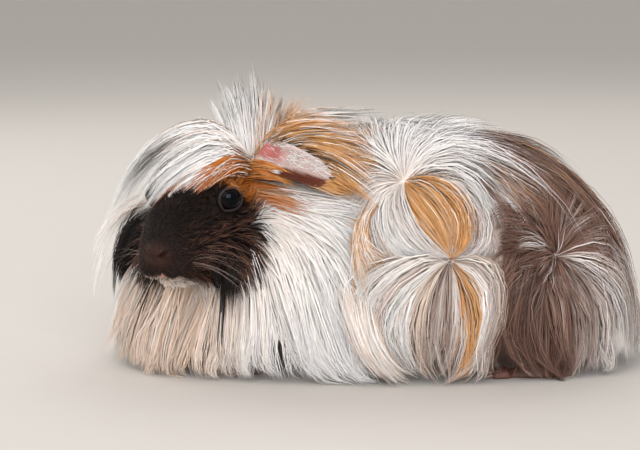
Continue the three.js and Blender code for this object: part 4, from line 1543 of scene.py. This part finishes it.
def face_tufts(surface, count, seed):
    rng = np.random.default_rng(seed)

    def density(points, facing):
        local, inside = in_head(points)
        back = local[:, 0]
        here = inside & (back < 56)
        bare = np.zeros(len(points))
        for _, s in SIDES:
            far, off, turn = eye_polar(local, s)
            bare = np.maximum(bare, (far < 10) & (off < eye_opening(turn) + 0.32))
        for line in (NOSTRIL, mirrored(NOSTRIL)):
            bare = np.maximum(bare, groove(local, line, 1.2, 1.0) > 0.2)
        for line in (LIPS, mirrored(LIPS)):
            lower = [(x + 0.4, y * 0.96, z - 1.6) for x, y, z in line]
            bare = np.maximum(bare, groove(local, lower, 1.6, 1.0) > 0.35)
        fine = 1 + 1.3 * (1 - smooth(6, 22, back))
        return here * (1 - bare) * fine

    roots, normals = surface.draw(count, density, rng)
    local = to_head(roots)
    back, side, up = local[:, 0], local[:, 1], local[:, 2]
    right = side > 0
    cheek = smooth(14, 36, back) * (1 - smooth(-8, 6, up))
    brow = smooth(26, 44, back) * smooth(15, 24, up)
    lengths = np.interp(back, [-2, 3, 8, 18, 34, 50], [0.9, 1.6, 3.0, 4.8, 6.0, 8.5])
    lengths = lengths + cheek * np.where(right, 14, 9) + brow * 6
    lengths = lengths + 1.5 * smooth(14, 26, back) * (1 - smooth(0, 8, up))
    lengths = lengths * rng.uniform(0.75, 1.2, len(roots))
    ways = np.stack([
        0.9 + 0 * back,
        0.22 * np.sign(side) * (1 - smooth(20, 50, back)),
        np.where(up < 0, -0.35 - 0.75 * cheek, 0.06 + 0.15 * brow),
    ], axis=1)
    for _, s in SIDES:
        far, off, _ = eye_polar(local, s)
        centre, facing = eye_axes(s)
        near = np.exp(-((off - 0.9) / 0.5) ** 2) * (far < 13)
        ways = ways + 1.6 * near[:, None] * flat_on(local - centre, np.broadcast_to(facing, local.shape))
        lengths = np.where((far < 13) & (off < 1.5), np.minimum(lengths, 3.2), lengths)
    swirl = np.stack([cell_noise(roots, 11, seed_part) - 0.5 for seed_part in (61, 62, 63)], axis=1)
    ways = flat_on(ways @ HEAD_AXES + 0.7 * swirl + rng.normal(0, 0.16, ways.shape), normals)
    lifts = np.radians(17 + 20 * smooth(6, 16, back) + 10 * cheek + rng.normal(0, 7, len(roots)))
    widths = np.interp(lengths, [1, 5, 16], [0.3, 0.5, 0.62]) * rng.uniform(0.7, 1.2, len(roots))
    noise = np.clip(0.5 * cell_noise(roots, 6, 8) + 0.5 * rng.uniform(size=len(roots)), 0, 1)
    mix = head_mix(local, noise)
    root, tip = hair_colours(mix, rng)
    dark = mix[:, SABLE:SABLE + 1]
    root = root * (1 - 0.5 * dark)
    # Brown tips on the face's sable, fewest towards the brow: the hair's own brown, thinned out as painted
    # shade under the brow and forelock.
    brown_tips_less_in_brow_shade = (1 - 0.85 * smooth(0, 12, up)) * (0.4 + 0.6 * smooth(4, 20, back))
    brown_tips_less_in_brow_shade = dark * brown_tips_less_in_brow_shade[:, None] * rng.choice([0, 0.4, 1.0], size=(len(roots), 1), p=[0.4, 0.34, 0.26])
    tip = tip * (1 - brown_tips_less_in_brow_shade) + brown_tips_less_in_brow_shade * np.array(srgb("#7A5342"))
    pad = np.exp(-(np.linalg.norm((local - [0, 0, 0.6]) / [5, 8.5, 6.5], axis=1)) ** 4)[:, None]
    tip = tip * (1 - 0.8 * pad) + 0.8 * pad * np.array(srgb("#523124"))
    tufts = short_tufts(roots, normals, ways, lengths, lifts, 0.1 + 0.5 * cheek, widths, (root, tip), seed)
    paths, ups, _ = gathered(*tufts.arrays[:2], 0.6, 7, rng)
    return Tufts(paths, ups, *tufts.arrays[2:], seed)


def rounded(paths):
    """Rounds off the corners of paths drawn through a few points."""
    for _ in range(2):
        start, end = paths[:, :-1], paths[:, 1:]
        cut = np.stack([0.75 * start + 0.25 * end, 0.25 * start + 0.75 * end], axis=2)
        cut = cut.reshape(len(paths), -1, 3)
        paths = np.concatenate([paths[:, :1], cut[:, 1:-1], paths[:, -1:]], axis=1)
    return paths


def coloured(base, *layers):
    """How a fan is coloured: all of one colour, with others laid over it by rules of place and noise."""
    def colour_of(place, offset, noise):
        mix = all_of(base, len(place))
        for colour, share in layers:
            paint(mix, colour, share(place, noise))
        return mix
    return colour_of


def lock_tufts(ribs, reach, colour_of, count, spread, seed, width, stagger=0.12, frizz=0.25, middle=0.0,
               most=1.0):
    """Hair that follows a fan of ribs.

    spread is half the fan's thickness at root, middle and tip, and stagger how far its roots are scattered
    along the ribs. Its two faces turn away from the plane Y = middle, and most limits how far they turn to
    the animal's right.
    """
    rng = np.random.default_rng(seed)
    ribs = np.array(ribs, float)
    place = rng.uniform(0, len(ribs) - 1, count)
    lower = np.minimum(place.astype(int), len(ribs) - 2)
    share = (place - lower)[:, None, None]
    paths = rounded(ribs[lower] * (1 - share) + ribs[lower + 1] * share)
    offset = unit(rng.normal(size=(count, 3))) * rng.uniform(size=(count, 1)) ** 0.45
    along = np.linspace(0, 1, paths.shape[1])
    thick = np.interp(along, [0, 0.45, 1], spread)
    paths = paths + offset[:, None] * thick[None, :, None]
    noise = rng.uniform(size=count)
    whole = np.linalg.norm(np.diff(paths, axis=1), axis=2).sum(axis=1)
    lengths = whole * reach(place, offset, noise) * rng.uniform(0.78, 1.05, count)
    paths = resampled(paths, lengths, TUFT_POINTS, whole * stagger * rng.uniform(0, 1, count))
    side = np.minimum(np.tanh((paths[:, :, 1] - middle) / 10 + 1.5 * offset[:, None, 1]), most)
    ups = np.stack([np.full(side.shape, -0.3), 0.7 * side, np.full(side.shape, 0.65)], axis=2)
    ups = unit(unit(ups) + 0.35 * offset[:, None])
    paths, ups, _ = gathered(paths, ups, 0.88, 22, rng)
    paths = ruffled(paths, rng, frizz)
    paths[:, :, 2] = np.maximum(paths[:, :, 2], 0.45)
    root_colour, tip_colour = hair_colours(colour_of(place, offset, noise), rng)
    return Tufts(paths, ups, width * rng.uniform(0.6, 1.2, count), root_colour, tip_colour, seed)


def ear_fuzz(surface, count, seed):
    """Short pale hair on both faces of the ears, thin in the hollow at the root and none on the dark lobe."""
    rng = np.random.default_rng(seed)

    def density(points, facing):
        local = to_head(points)
        total = np.zeros(len(points))
        for _, side in SIDES:
            reach, share, height = ear_measures(local, side)
            here = (reach > 0.02) & (reach < 1.04) & (np.abs(share) < 1.2) & (np.abs(height) < 5)
            hollow = (reach < 0.34) & (np.abs(share + 0.25) < 0.5)
            lobe = (share + 0.1 + 0.5 * (reach - 0.7) > 0) & (reach > 0.36)
            total += here * np.where(hollow, 0.12, np.where(lobe, 0.0, 1.0))
        return total

    roots, normals = surface.draw(count, density, rng)
    side = np.where(to_head(roots)[:, 1] > 0, 1, -1)
    ways = np.where((side > 0)[:, None], ear_axes(1)[0], ear_axes(-1)[0] * [1, -1, 1]) @ HEAD_AXES
    ways = flat_on(ways + rng.normal(0, 0.25, ways.shape), normals)
    mix = all_of(GREY, count)
    paint(mix, WHITE, (rng.uniform(size=count) < 0.5).astype(float))
    lengths = rng.uniform(2.5, 5.0, count)
    return short_tufts(roots, normals, ways, lengths, np.full(count, 0.22), np.full(count, 0.1),
                       rng.uniform(0.2, 0.32, count), hair_colours(mix, rng), seed)


# Ribs from root to tip. The forelock's run from its near edge, on the midline of the brow, to its far edge.
FORELOCK = (
    ((-34, -36, 95), (-38, -46, 98), (-42, -51, 96), (-45, -54, 92), (-47, -55, 89)),
    ((-34, -33, 95), (-42, -45, 98), (-54, -47, 93), (-64, -45, 87), (-71, -44, 80)),
    ((-33, -31, 95), (-44, -42, 105), (-58, -43, 99), (-71, -42, 89), (-80, -41, 75)),
    ((-33, -27, 95), (-46, -34, 110), (-62, -34, 106), (-77, -31, 95), (-86, -30, 82)),
    ((-32, -23, 95), (-46, -26, 113), (-66, -25, 110), (-82, -24, 98), (-92, -24, 82)),
    ((-31, -19, 95), (-46, -16, 113), (-67, -16, 110), (-87, -17, 96), (-101, -21, 64)),
    ((-31, -15, 95), (-44, -6, 108), (-62, -2, 102), (-78, -2, 91), (-88, -6, 70)),
)
NAPE = (
    ((-8, -28, 98), (2, -35, 96), (12, -42, 89), (22, -48, 81), (28, -51, 76)),
    ((-14, -25, 101), (-3, -31, 103), (9, -36, 99), (20, -41, 92), (30, -44, 86)),
    ((-28, -26, 96), (-20, -26, 108), (-8, -29, 110), (8, -32, 109), (25, -34, 105)),
    ((-29, -29, 97), (-21, -33, 109), (-8, -33, 114), (8, -32, 114), (25, -30, 112)),
    ((-30, -25, 96), (-23, -25, 108), (-12, -24, 114), (3, -21, 116), (22, -18, 116)),
    ((-29, -18, 97), (-21, -14, 111), (-7, -12, 117), (12, -10, 118), (32, -8, 118)),
    ((-28, -10, 97), (-20, 0, 109), (-5, 4, 115), (14, 6, 117), (32, 8, 117)),
    ((-26, 0, 95), (-18, 14, 104), (-4, 20, 109), (12, 22, 111), (28, 24, 111)),
)
# Ribs before the left ear, in the head's frame mirrored.
EAR_FRONT = (
    ((53, 18, 25), (55, 26, 26), (58, 34, 22.5), (60, 43, 17)),
    ((50, 20, 21), (53, 28, 21), (56, 37, 17), (58, 46, 11)),
)
CREST_TIPS = (
    (-54, -16, 122), (-45, -20, 132), (-37, -26, 137), (-29, -14, 137), (-19, -26, 134), (-9, -14, 129),
    (1, -20, 120),
)
WISPS = (
    ((-36, -37, 66), (-37, -46, 58), (-37, -54, 42), (-38, -57, 24)),
    ((-44, -41, 64), (-45, -50, 56), (-45, -56, 46), (-46, -57, 36)),
)
FAR_WISPS = (
    ((-82, -20, 62), (-88, -23, 54), (-92, -25, 43), (-94, -26, 29)),
    ((-78, -10, 72), (-87, -12, 66), (-92, -13, 54), (-94, -14, 38)),
)
# Dark hair hanging between the flank's and the hip's whorls, over the hind toes.
VALLEY = (
    ((88, -43, 58), (83, -50, 46), (80, -52, 28), (75, -51, 6)),
    ((91, -43, 58), (86, -50, 45), (83, -53, 26), (81, -51, 4)),
    ((94, -42, 56), (89, -50, 44), (87, -52, 25), (89, -51, 3)),
    ((98, -42, 54), (93, -50, 42), (92, -52, 24), (98, -50, 3)),
)
# Ochre frizz where the ruff, the saddle and the flank meet, and the pale hem below it.
OCHRE = (
    ((26, -46, 80), (20, -53, 74), (20, -58, 65), (25, -60, 59), (34, -60, 56.5)),
    ((24, -46, 79), (17, -53, 72), (17, -58, 62), (20, -60, 55), (25, -61, 48)),
    ((20, -46, 77), (15, -54, 69), (15, -59, 57), (16, -60, 47), (19, -60.5, 36)),
)
HEM = (
    ((8, -56, 44), (12, -61, 30), (18, -63, 14), (28, -62, 2)),
    ((16, -56, 42), (18, -61, 28), (24, -63, 12), (36, -62, 1.5)),
    ((24, -56, 36), (25, -61, 24), (31, -62, 11), (44, -61, 1.5)),
)
FAR_RUFF = (
    ((-74, -12, 76), (-90, -12, 72), (-101, -12, 58), (-106, -14, 40), (-107, -14, 24)),
    ((-70, -4, 74), (-84, 0, 70), (-96, 0, 58), (-102, -2, 40), (-104, -2, 22)),
    ((-64, 6, 78), (-78, 12, 74), (-90, 14, 60), (-95, 14, 42), (-96, 12, 22)),
    ((-58, 14, 80), (-70, 22, 74), (-80, 26, 60), (-85, 26, 42), (-86, 24, 20)),
)


# How lock_tufts draws the hair of each fan.
FANS = {
    "valley": dict(count=620, spread=(4, 3.5, 2.5), seed=81, width=0.5, stagger=0.3),
    "ochre": dict(count=330, spread=(2.5, 2.4, 3.4), seed=81, width=0.5, stagger=0.7, frizz=0.7),
    "hem": dict(count=300, spread=(3, 3, 3), seed=81, width=0.5, stagger=0.3, frizz=0.3),
    "wisps": dict(count=450, spread=(8, 6, 1.5), seed=41, width=0.42),
    "far_wisps": dict(count=450, spread=(9, 7, 2), seed=42, width=0.42),
    "far_ruff": dict(count=240, spread=(9, 8, 7), seed=43, width=0.45, middle=20, most=-0.2),
    "forelock": dict(count=3000, spread=(5, 5, 3.5), seed=61, width=0.55, middle=-26, most=0),
    "nape": dict(count=2000, spread=(4, 4, 3.5), seed=72, width=0.55, stagger=0.5, middle=-20, most=0),
    "ear_front": dict(count=300, spread=(3.2, 2.4, 1.2), seed=73, width=0.45, stagger=0.5),
    "crest": dict(count=2300, spread=(6, 7, 8), seed=71, width=0.5, middle=-26, most=0),
}


def crest_ribs():
    """Each rib leaves the crown steeply and bends over a little towards its tip."""
    ribs = []
    for tip in np.array(CREST_TIPS, float):
        root = CROWN + [0.25 * (tip[0] - CROWN[0]), 0, -5]
        way = tip - root
        low = root + 0.35 * way + [-0.06 * way[0], 0, 2]
        high = root + 0.7 * way + [-0.05 * way[0], 0, 2]
        ribs.append([root, low, high, tip])
    return ribs


def whisker_tufts(count, seed):
    rng = np.random.default_rng(seed)
    side = np.where(np.arange(count) % 2 == 0, -1.0, 1.0)

    def drawn(back, across, up):
        """A place or a way for each whisker, between limits, mirrored for every other one."""
        parts = [rng.uniform(*limits, count) for limits in (back, across, up)]
        return np.stack([parts[0], side * parts[1], parts[2]], axis=1)

    roots = from_head(drawn((6, 15), (10.5, 14), (-9, -1)))
    ways = unit(drawn((0.15, 0.6), (0.7, 1), (-0.55, 0.1)) @ HEAD_AXES)
    lengths = rng.uniform(26, 48, count)
    grey = np.tile(srgb("#B7A294"), (count, 1))
    droop = rng.uniform(0.35, 0.8, count)
    normals = np.tile(HEAD_AXES[2], (count, 1))
    return short_tufts(roots, normals, ways, lengths, np.full(count, 0.15), droop, np.full(count, 0.12),
                       (grey, grey), seed, points=9)


# ---------------------------------------------------------------- operators

class GUINEAPIG_OT_skin(bpy.types.Operator):
    """Builds the one skin of body, head, ears and feet"""

    bl_idname = "guinea_pig.skin"
    bl_label = "Skin"

    def execute(self, context):
        mesh = skin_mesh()
        paint_skin(mesh)
        flesh = ["muzzle", "head", "nose", "lower_jaw", "chest", "neck", "shoulders", "barrel", "rump"]
        flesh += [f"{part}_{side}" for part in ("ear", "foreleg", "hindleg") for side, _ in SIDES]
        new_piece("skin", mesh, skin_material(), "foot_skin", *flesh)
        return {"FINISHED"}


class GUINEAPIG_OT_eyes(bpy.types.Operator):
    """Builds both eyes, each a ball with a swelling cornea"""

    bl_idname = "guinea_pig.eyes"
    bl_label = "Eyes"

    def execute(self, context):
        for name, side in SIDES:
            centre, facing = eye_axes(side)
            bm = sphere(32, 48)
            turn = Vector(HEAD_AXES.T @ facing).to_track_quat("Z", "Y").to_matrix().to_4x4()
            off_axis = []
            middle = from_head(centre)
            for vertex in bm.verts:
                off = math.acos(max(-1, min(1, vertex.co.z)))
                off_axis.append(off)
                vertex.co *= EYE["radius"] + 0.3 * math.exp(-(off / 0.75) ** 4)
            bmesh.ops.transform(bm, matrix=turn, verts=bm.verts)
            for vertex in bm.verts:
                vertex.co = placed(middle + np.array(vertex.co))
            mesh = mesh_of(f"eyeball_{name}", bm)
            set_attribute(mesh, "off_axis", "FLOAT", off_axis)
            new_piece(f"eyeball_{name}", mesh, shared(eye_material), "eye", f"eye_{name}")
        return {"FINISHED"}


class GUINEAPIG_OT_claws(bpy.types.Operator):
    """Builds the claws of each foot"""

    bl_idname = "guinea_pig.claws"
    bl_label = "Claws"

    def execute(self, context):
        for name, side in SIDES:
            for limb, spec in (("foreleg", FOREFOOT), ("hindleg", HINDFOOT)):
                self.claws_of(f"{limb}_{name}", spec, side)
        return {"FINISHED"}

    @staticmethod
    def claws_of(limb, spec, side):
        joined = bmesh.new()
        for root, angle in toe_places(spec, side):
            def at(along, around, root=root, angle=angle):
                size = CLAW["radius"] * lens(np.minimum(along * 1.6, 1) - 1, 2) * (1 - 0.9 * along) ** 0.7
                forward = -spec["toe"] + 1.6 - CLAW["length"] * along
                lift = CLAW["radius"] * (1.9 - 1.1 * along ** 2) + size * np.cos(around)
                return splayed(root, angle, forward, size * np.sin(around), np.maximum(0.05, lift))

            poured(joined, form(18, 14, at))
        nodes = [f"claw_{limb}_{i + 1}" for i in range(spec["toes"])]
        new_piece(f"claws_{limb}", mesh_of(f"claws_{limb}", joined), shared(claw_material), "claw", *nodes)


def between(low, high, values):
    return ((values >= low) & (values < high)).astype(float)


COAT_ZONES = {
    "chest": ("white_coat", lambda p: between(-999, -22, p[:, 0]), 1.0),
    "neck_and_shoulder": ("ginger_coat", lambda p: between(-22, 30, p[:, 0]), 1.0),
    "barrel": ("cream_coat", lambda p: between(30, 82, p[:, 0]), 1.05),
    "rump": ("umber_coat", lambda p: between(82, 999, p[:, 0]), 0.95),
}


class GUINEAPIG_OT_trunk_coat(bpy.types.Operator):
    """Builds the long coat of the trunk, in four lengths on each side, and the hair at the flank's edges"""

    bl_idname = "guinea_pig.trunk_coat"
    bl_label = "Trunk coat"

    def execute(self, context):
        sizes = context.scene.guinea_pig_sizes
        surface = Surface()

        dark = coloured(UMBER, (SABLE, lambda place, noise: np.where(noise < 0.6, 0.65, 0.15)))
        ochre = coloured(
            GINGER,
            (CREAM, lambda place, noise: 0.85 * (noise > 0.4)),
            (WHITE, lambda place, noise: 0.8 * (noise > 0.75)),
            (UMBER, lambda place, noise: 0.4 * (noise < 0.15)),
        )
        pale = coloured(WHITE, (CREAM, lambda place, noise: 0.8 * (noise > 0.6)))

        def ragged(place, offset, noise):
            return 0.8 + 0.25 * noise

        # Hair laid along given ribs: dark in the valleys between the whorls, paler along the flank's front
        # and hem.
        for title, slot, fans in (
            ("coat_valleys", "umber_coat", ((VALLEY, dark, "valley"),)),
            ("coat_flank_edges", "ginger_coat", ((OCHRE, ochre, "ochre"), (HEM, pale, "hem"))),
        ):
            new_coat(title, Tufts.joined([
                lock_tufts(np.array(ribs) * [1, -side, 1], ragged, colour_of, **FANS[fan])
                for _, side in SIDES for ribs, colour_of, fan in fans
            ]), slot)
        for number, (zone, (slot, where, share)) in enumerate(COAT_ZONES.items()):
            for name, side in SIDES:
                def here(points, where=where, side=side):
                    return where(points) * (points[:, 1] * side > 0)

                count = int(sizes.coat_tufts * share)
                tufts = trunk_tufts(surface, count, here, seed=100 + 10 * number + side)
                new_coat(f"coat_{zone}_{name}", tufts, slot)
        return {"FINISHED"}


class GUINEAPIG_OT_face_coat(bpy.types.Operator):
    """Builds the fur of face and ears, the wisps of the cheeks, the far ruff and the whiskers"""

    bl_idname = "guinea_pig.face_coat"
    bl_label = "Face coat"

    def execute(self, context):
        sizes = context.scene.guinea_pig_sizes
        surface = Surface()
        tufts = face_tufts(surface, sizes.face_tufts, seed=31)
        new_coat("coat_face", tufts, "sable_coat", softness=0.3)

        def whole(place, offset, noise):
            return 0.55 + 0.45 * noise

        sable = coloured(SABLE)
        near = lock_tufts(WISPS, whole, sable, **FANS["wisps"])
        far = lock_tufts(FAR_WISPS, whole, sable, **FANS["far_wisps"])
        new_coat("coat_cheek_wisps", Tufts.joined([near, far]), "sable_coat")

        white = coloured(WHITE, (CREAM, lambda place, noise: 0.5 * (noise < 0.3)))
        new_coat("coat_far_ruff", lock_tufts(FAR_RUFF, whole, white, **FANS["far_ruff"]), "white_coat")
        new_coat("coat_ears", ear_fuzz(surface, 1600, seed=44), "white_coat")
        new_coat("whiskers", whisker_tufts(28, seed=51), "cream_coat")
        return {"FINISHED"}


class GUINEAPIG_OT_crown_coat(bpy.types.Operator):
    """Builds the forelock over the brow, the hair of the nape and the crest on the crown"""

    bl_idname = "guinea_pig.crown_coat"
    bl_label = "Forelock and crest"

    def execute(self, context):
        def fore(place, offset, noise):
            mix = all_of(WHITE, len(place))
            under = offset[:, 2] < -0.25
            paint(mix, CREAM, 0.6 * (noise < 0.2))
            paint(mix, GINGER, 0.5 * ((place > 3.6) & (noise > 0.2) & (noise < 0.34)))
            paint(mix, RUST, (place < 0.7) & (noise > 0.35))
            paint(mix, RUST, (place < 2.6) & (noise < 0.16))
            paint(mix, RUST, under & (place < 1.8) & (noise > 0.5))
            # Sable strands under the forelock's middle: the face's dark fur and painted shade under the
            # forelock.
            shade_under_forelock = (offset[:, 2] < 0.1) & (offset[:, 1] < 0.5)
            paint(mix, SABLE, 0.9 * (shade_under_forelock & (place > 2.4) & (place < 4.8) & (noise > 0.5)))
            return mix

        def fore_reach(place, offset, noise):
            """Between its near lock and its far arc the forelock is short, over longer dark hair, sable as
            the face and painted as the shade under the forelock.
            """
            short = smooth(2.4, 3.0, place) * (1 - smooth(4.3, 4.8, place))
            dark = (offset[:, 2] < -0.25) & (noise > 0.35) & (place > 2.6) & (place < 4.8)
            thin = np.where(place > 4.3, np.where(noise > 0.66, 1.0, 0.42 + 0.2 * noise), 1.0)
            thin = np.where((place < 2.6) & (noise < 0.16), 0.25 + 0.8 * noise, thin)
            return np.where(dark, 0.92, thin - 0.3 * short * (0.8 + 0.2 * noise))

        def crest_reach(place, offset, noise):
            return 0.55 + 0.5 * noise

        crest = coloured(
            WHITE, (GINGER, lambda place, noise: 0.85 * smooth(3.6, 5.2, place + 1.8 * (noise - 0.5))))
        nape = coloured(
            GINGER,
            (WHITE, lambda place, noise: 0.9 * (noise > np.interp(place, [0, 3.5, 5], [0.93, 0.8, 0.45]))),
            (CREAM, lambda place, noise: 0.6 * (noise < 0.2)),
        )
        rust = coloured(RUST, (GINGER, lambda place, noise: 0.7 * (noise > 0.6)))
        soft = {"softness": 0.94, "shade_power": 0.3}
        forelock = lock_tufts(FORELOCK, fore_reach, fore, **FANS["forelock"])
        new_coat("forelock_hair", forelock, "white_coat", "forelock", **soft)
        fan = lock_tufts(NAPE, crest_reach, nape, **FANS["nape"])
        fan = fan.only(~over_ear(fan.arrays[0][:, 1:]).any(axis=1))
        ribs = [from_head(np.array(rib) * [1, -1, 1]) for rib in EAR_FRONT]
        front = lock_tufts(ribs, crest_reach, rust, **FANS["ear_front"])
        new_coat("coat_nape", Tufts.joined([fan, front]), "ginger_coat")
        new_coat("crest_hair", lock_tufts(crest_ribs(), crest_reach, crest, **FANS["crest"]), "white_coat",
                 "crest", **soft)
        return {"FINISHED"}


# The name of each lamp, its place from the animal's middle and its size in metres, its power in watts, the
# spread of its light in degrees, and its colour.
LAMPS = (
    ("window", (0.2, -1.7, 0.8), (1.3, 1.0), 5.4, 80, "#F8FAFF"),
    ("key", (-0.9, -0.9, 1.1), (1.2, 1.2), 6.8, 180, "#FFFAF5"),
    ("back", (0.2, 1.2, 1.5), (1.4, 1.0), 8.6, 180, "#FFFFFF"),
    ("fill", (-1.2, 1.0, 0.8), (1.0, 1.0), 3.6, 120, "#FFFFFF"),
)
CAMERA = {"lens": 107.7, "elevation": math.radians(8), "aimed_at": (0, 0, 63.8)}
FLOOR_RADIUS = 20.0  # metres
SKY_STRENGTH = 0.6


class GUINEAPIG_OT_stage(bpy.types.Operator):
    """Sets a plain pale floor, soft lamps and the camera"""

    bl_idname = "guinea_pig.stage"
    bl_label = "Stage"

    def execute(self, context):
        scene = context.scene
        bm = bmesh.new()
        bmesh.ops.create_circle(bm, cap_ends=True, segments=96, radius=FLOOR_RADIUS)
        mesh = bpy.data.meshes.new("floor")
        bm.to_mesh(mesh)
        bm.free()
        floor = bpy.data.objects.new("floor", mesh)
        scene.collection.objects.link(floor)
        mesh.materials.append(floor_material())

        world = bpy.data.worlds.new("studio")
        scene.world = world
        world.use_nodes = True
        sky = world.node_tree.nodes["Background"].inputs
        sky["Color"].default_value = (*srgb("#FFFFFF"), 1)
        sky["Strength"].default_value = SKY_STRENGTH

        middle = Vector(placed([0, 0, 60]))
        for name, offset, size, power, spread, code in LAMPS:
            data = bpy.data.lights.new(name, "AREA")
            data.spread = np.radians(spread)
            data.shape = "RECTANGLE"
            data.size, data.size_y = size
            data.energy = power
            data.color = srgb(code)
            lamp = bpy.data.objects.new(name, data)
            lamp.location = middle + Vector(offset)
            lamp.rotation_mode = "QUATERNION"
            lamp.rotation_quaternion = (-Vector(offset)).to_track_quat("-Z", "Y")
            scene.collection.objects.link(lamp)

        data = bpy.data.cameras.new("camera")
        data.lens = CAMERA["lens"]
        data.clip_start, data.clip_end = 0.05, 60
        camera = bpy.data.objects.new("camera", data)
        elevation = CAMERA["elevation"]
        target = Vector(placed(CAMERA["aimed_at"]))
        distance = scene.guinea_pig_sizes.camera_distance
        camera.location = target + distance * Vector((0, -math.cos(elevation), math.sin(elevation)))
        camera.rotation_mode = "QUATERNION"
        camera.rotation_quaternion = (target - camera.location).to_track_quat("-Z", "Y")
        scene.collection.objects.link(camera)
        scene.camera = camera
        scene.view_settings.view_transform = "Standard"
        return {"FINISHED"}


OPERATORS = (
    GUINEAPIG_OT_skin,
    GUINEAPIG_OT_eyes,
    GUINEAPIG_OT_claws,
    GUINEAPIG_OT_trunk_coat,
    GUINEAPIG_OT_face_coat,
    GUINEAPIG_OT_crown_coat,
    GUINEAPIG_OT_stage,
)


class GUINEAPIG_PT_panel(bpy.types.Panel):
    """The sizes, colours and pieces of the guinea pig"""

    bl_idname = "GUINEAPIG_PT_panel"
    bl_label = "Guinea pig"
    bl_space_type = "VIEW_3D"
    bl_region_type = "UI"
    bl_category = "Guinea pig"

    def draw(self, context):
        for group in (context.scene.guinea_pig_sizes, context.scene.guinea_pig_colours):
            box = self.layout.box()
            for name in group.__annotations__:
                box.prop(group, name)
        for operator in OPERATORS:
            self.layout.operator(operator.bl_idname)


CLASSES = (GuineaPigSizes, GuineaPigColours, *OPERATORS, GUINEAPIG_PT_panel)


def register():
    for cls in CLASSES:
        bpy.utils.register_class(cls)
    bpy.types.Scene.guinea_pig_sizes = bpy.props.PointerProperty(type=GuineaPigSizes)
    bpy.types.Scene.guinea_pig_colours = bpy.props.PointerProperty(type=GuineaPigColours)


def unregister():
    del bpy.types.Scene.guinea_pig_colours
    del bpy.types.Scene.guinea_pig_sizes
    for cls in reversed(CLASSES):
        bpy.utils.unregister_class(cls)


def main():
    register()
    for operator in OPERATORS:
        group, name = operator.bl_idname.split(".")
        getattr(getattr(bpy.ops, group), name)()


if __name__ == "__main__":
    main()
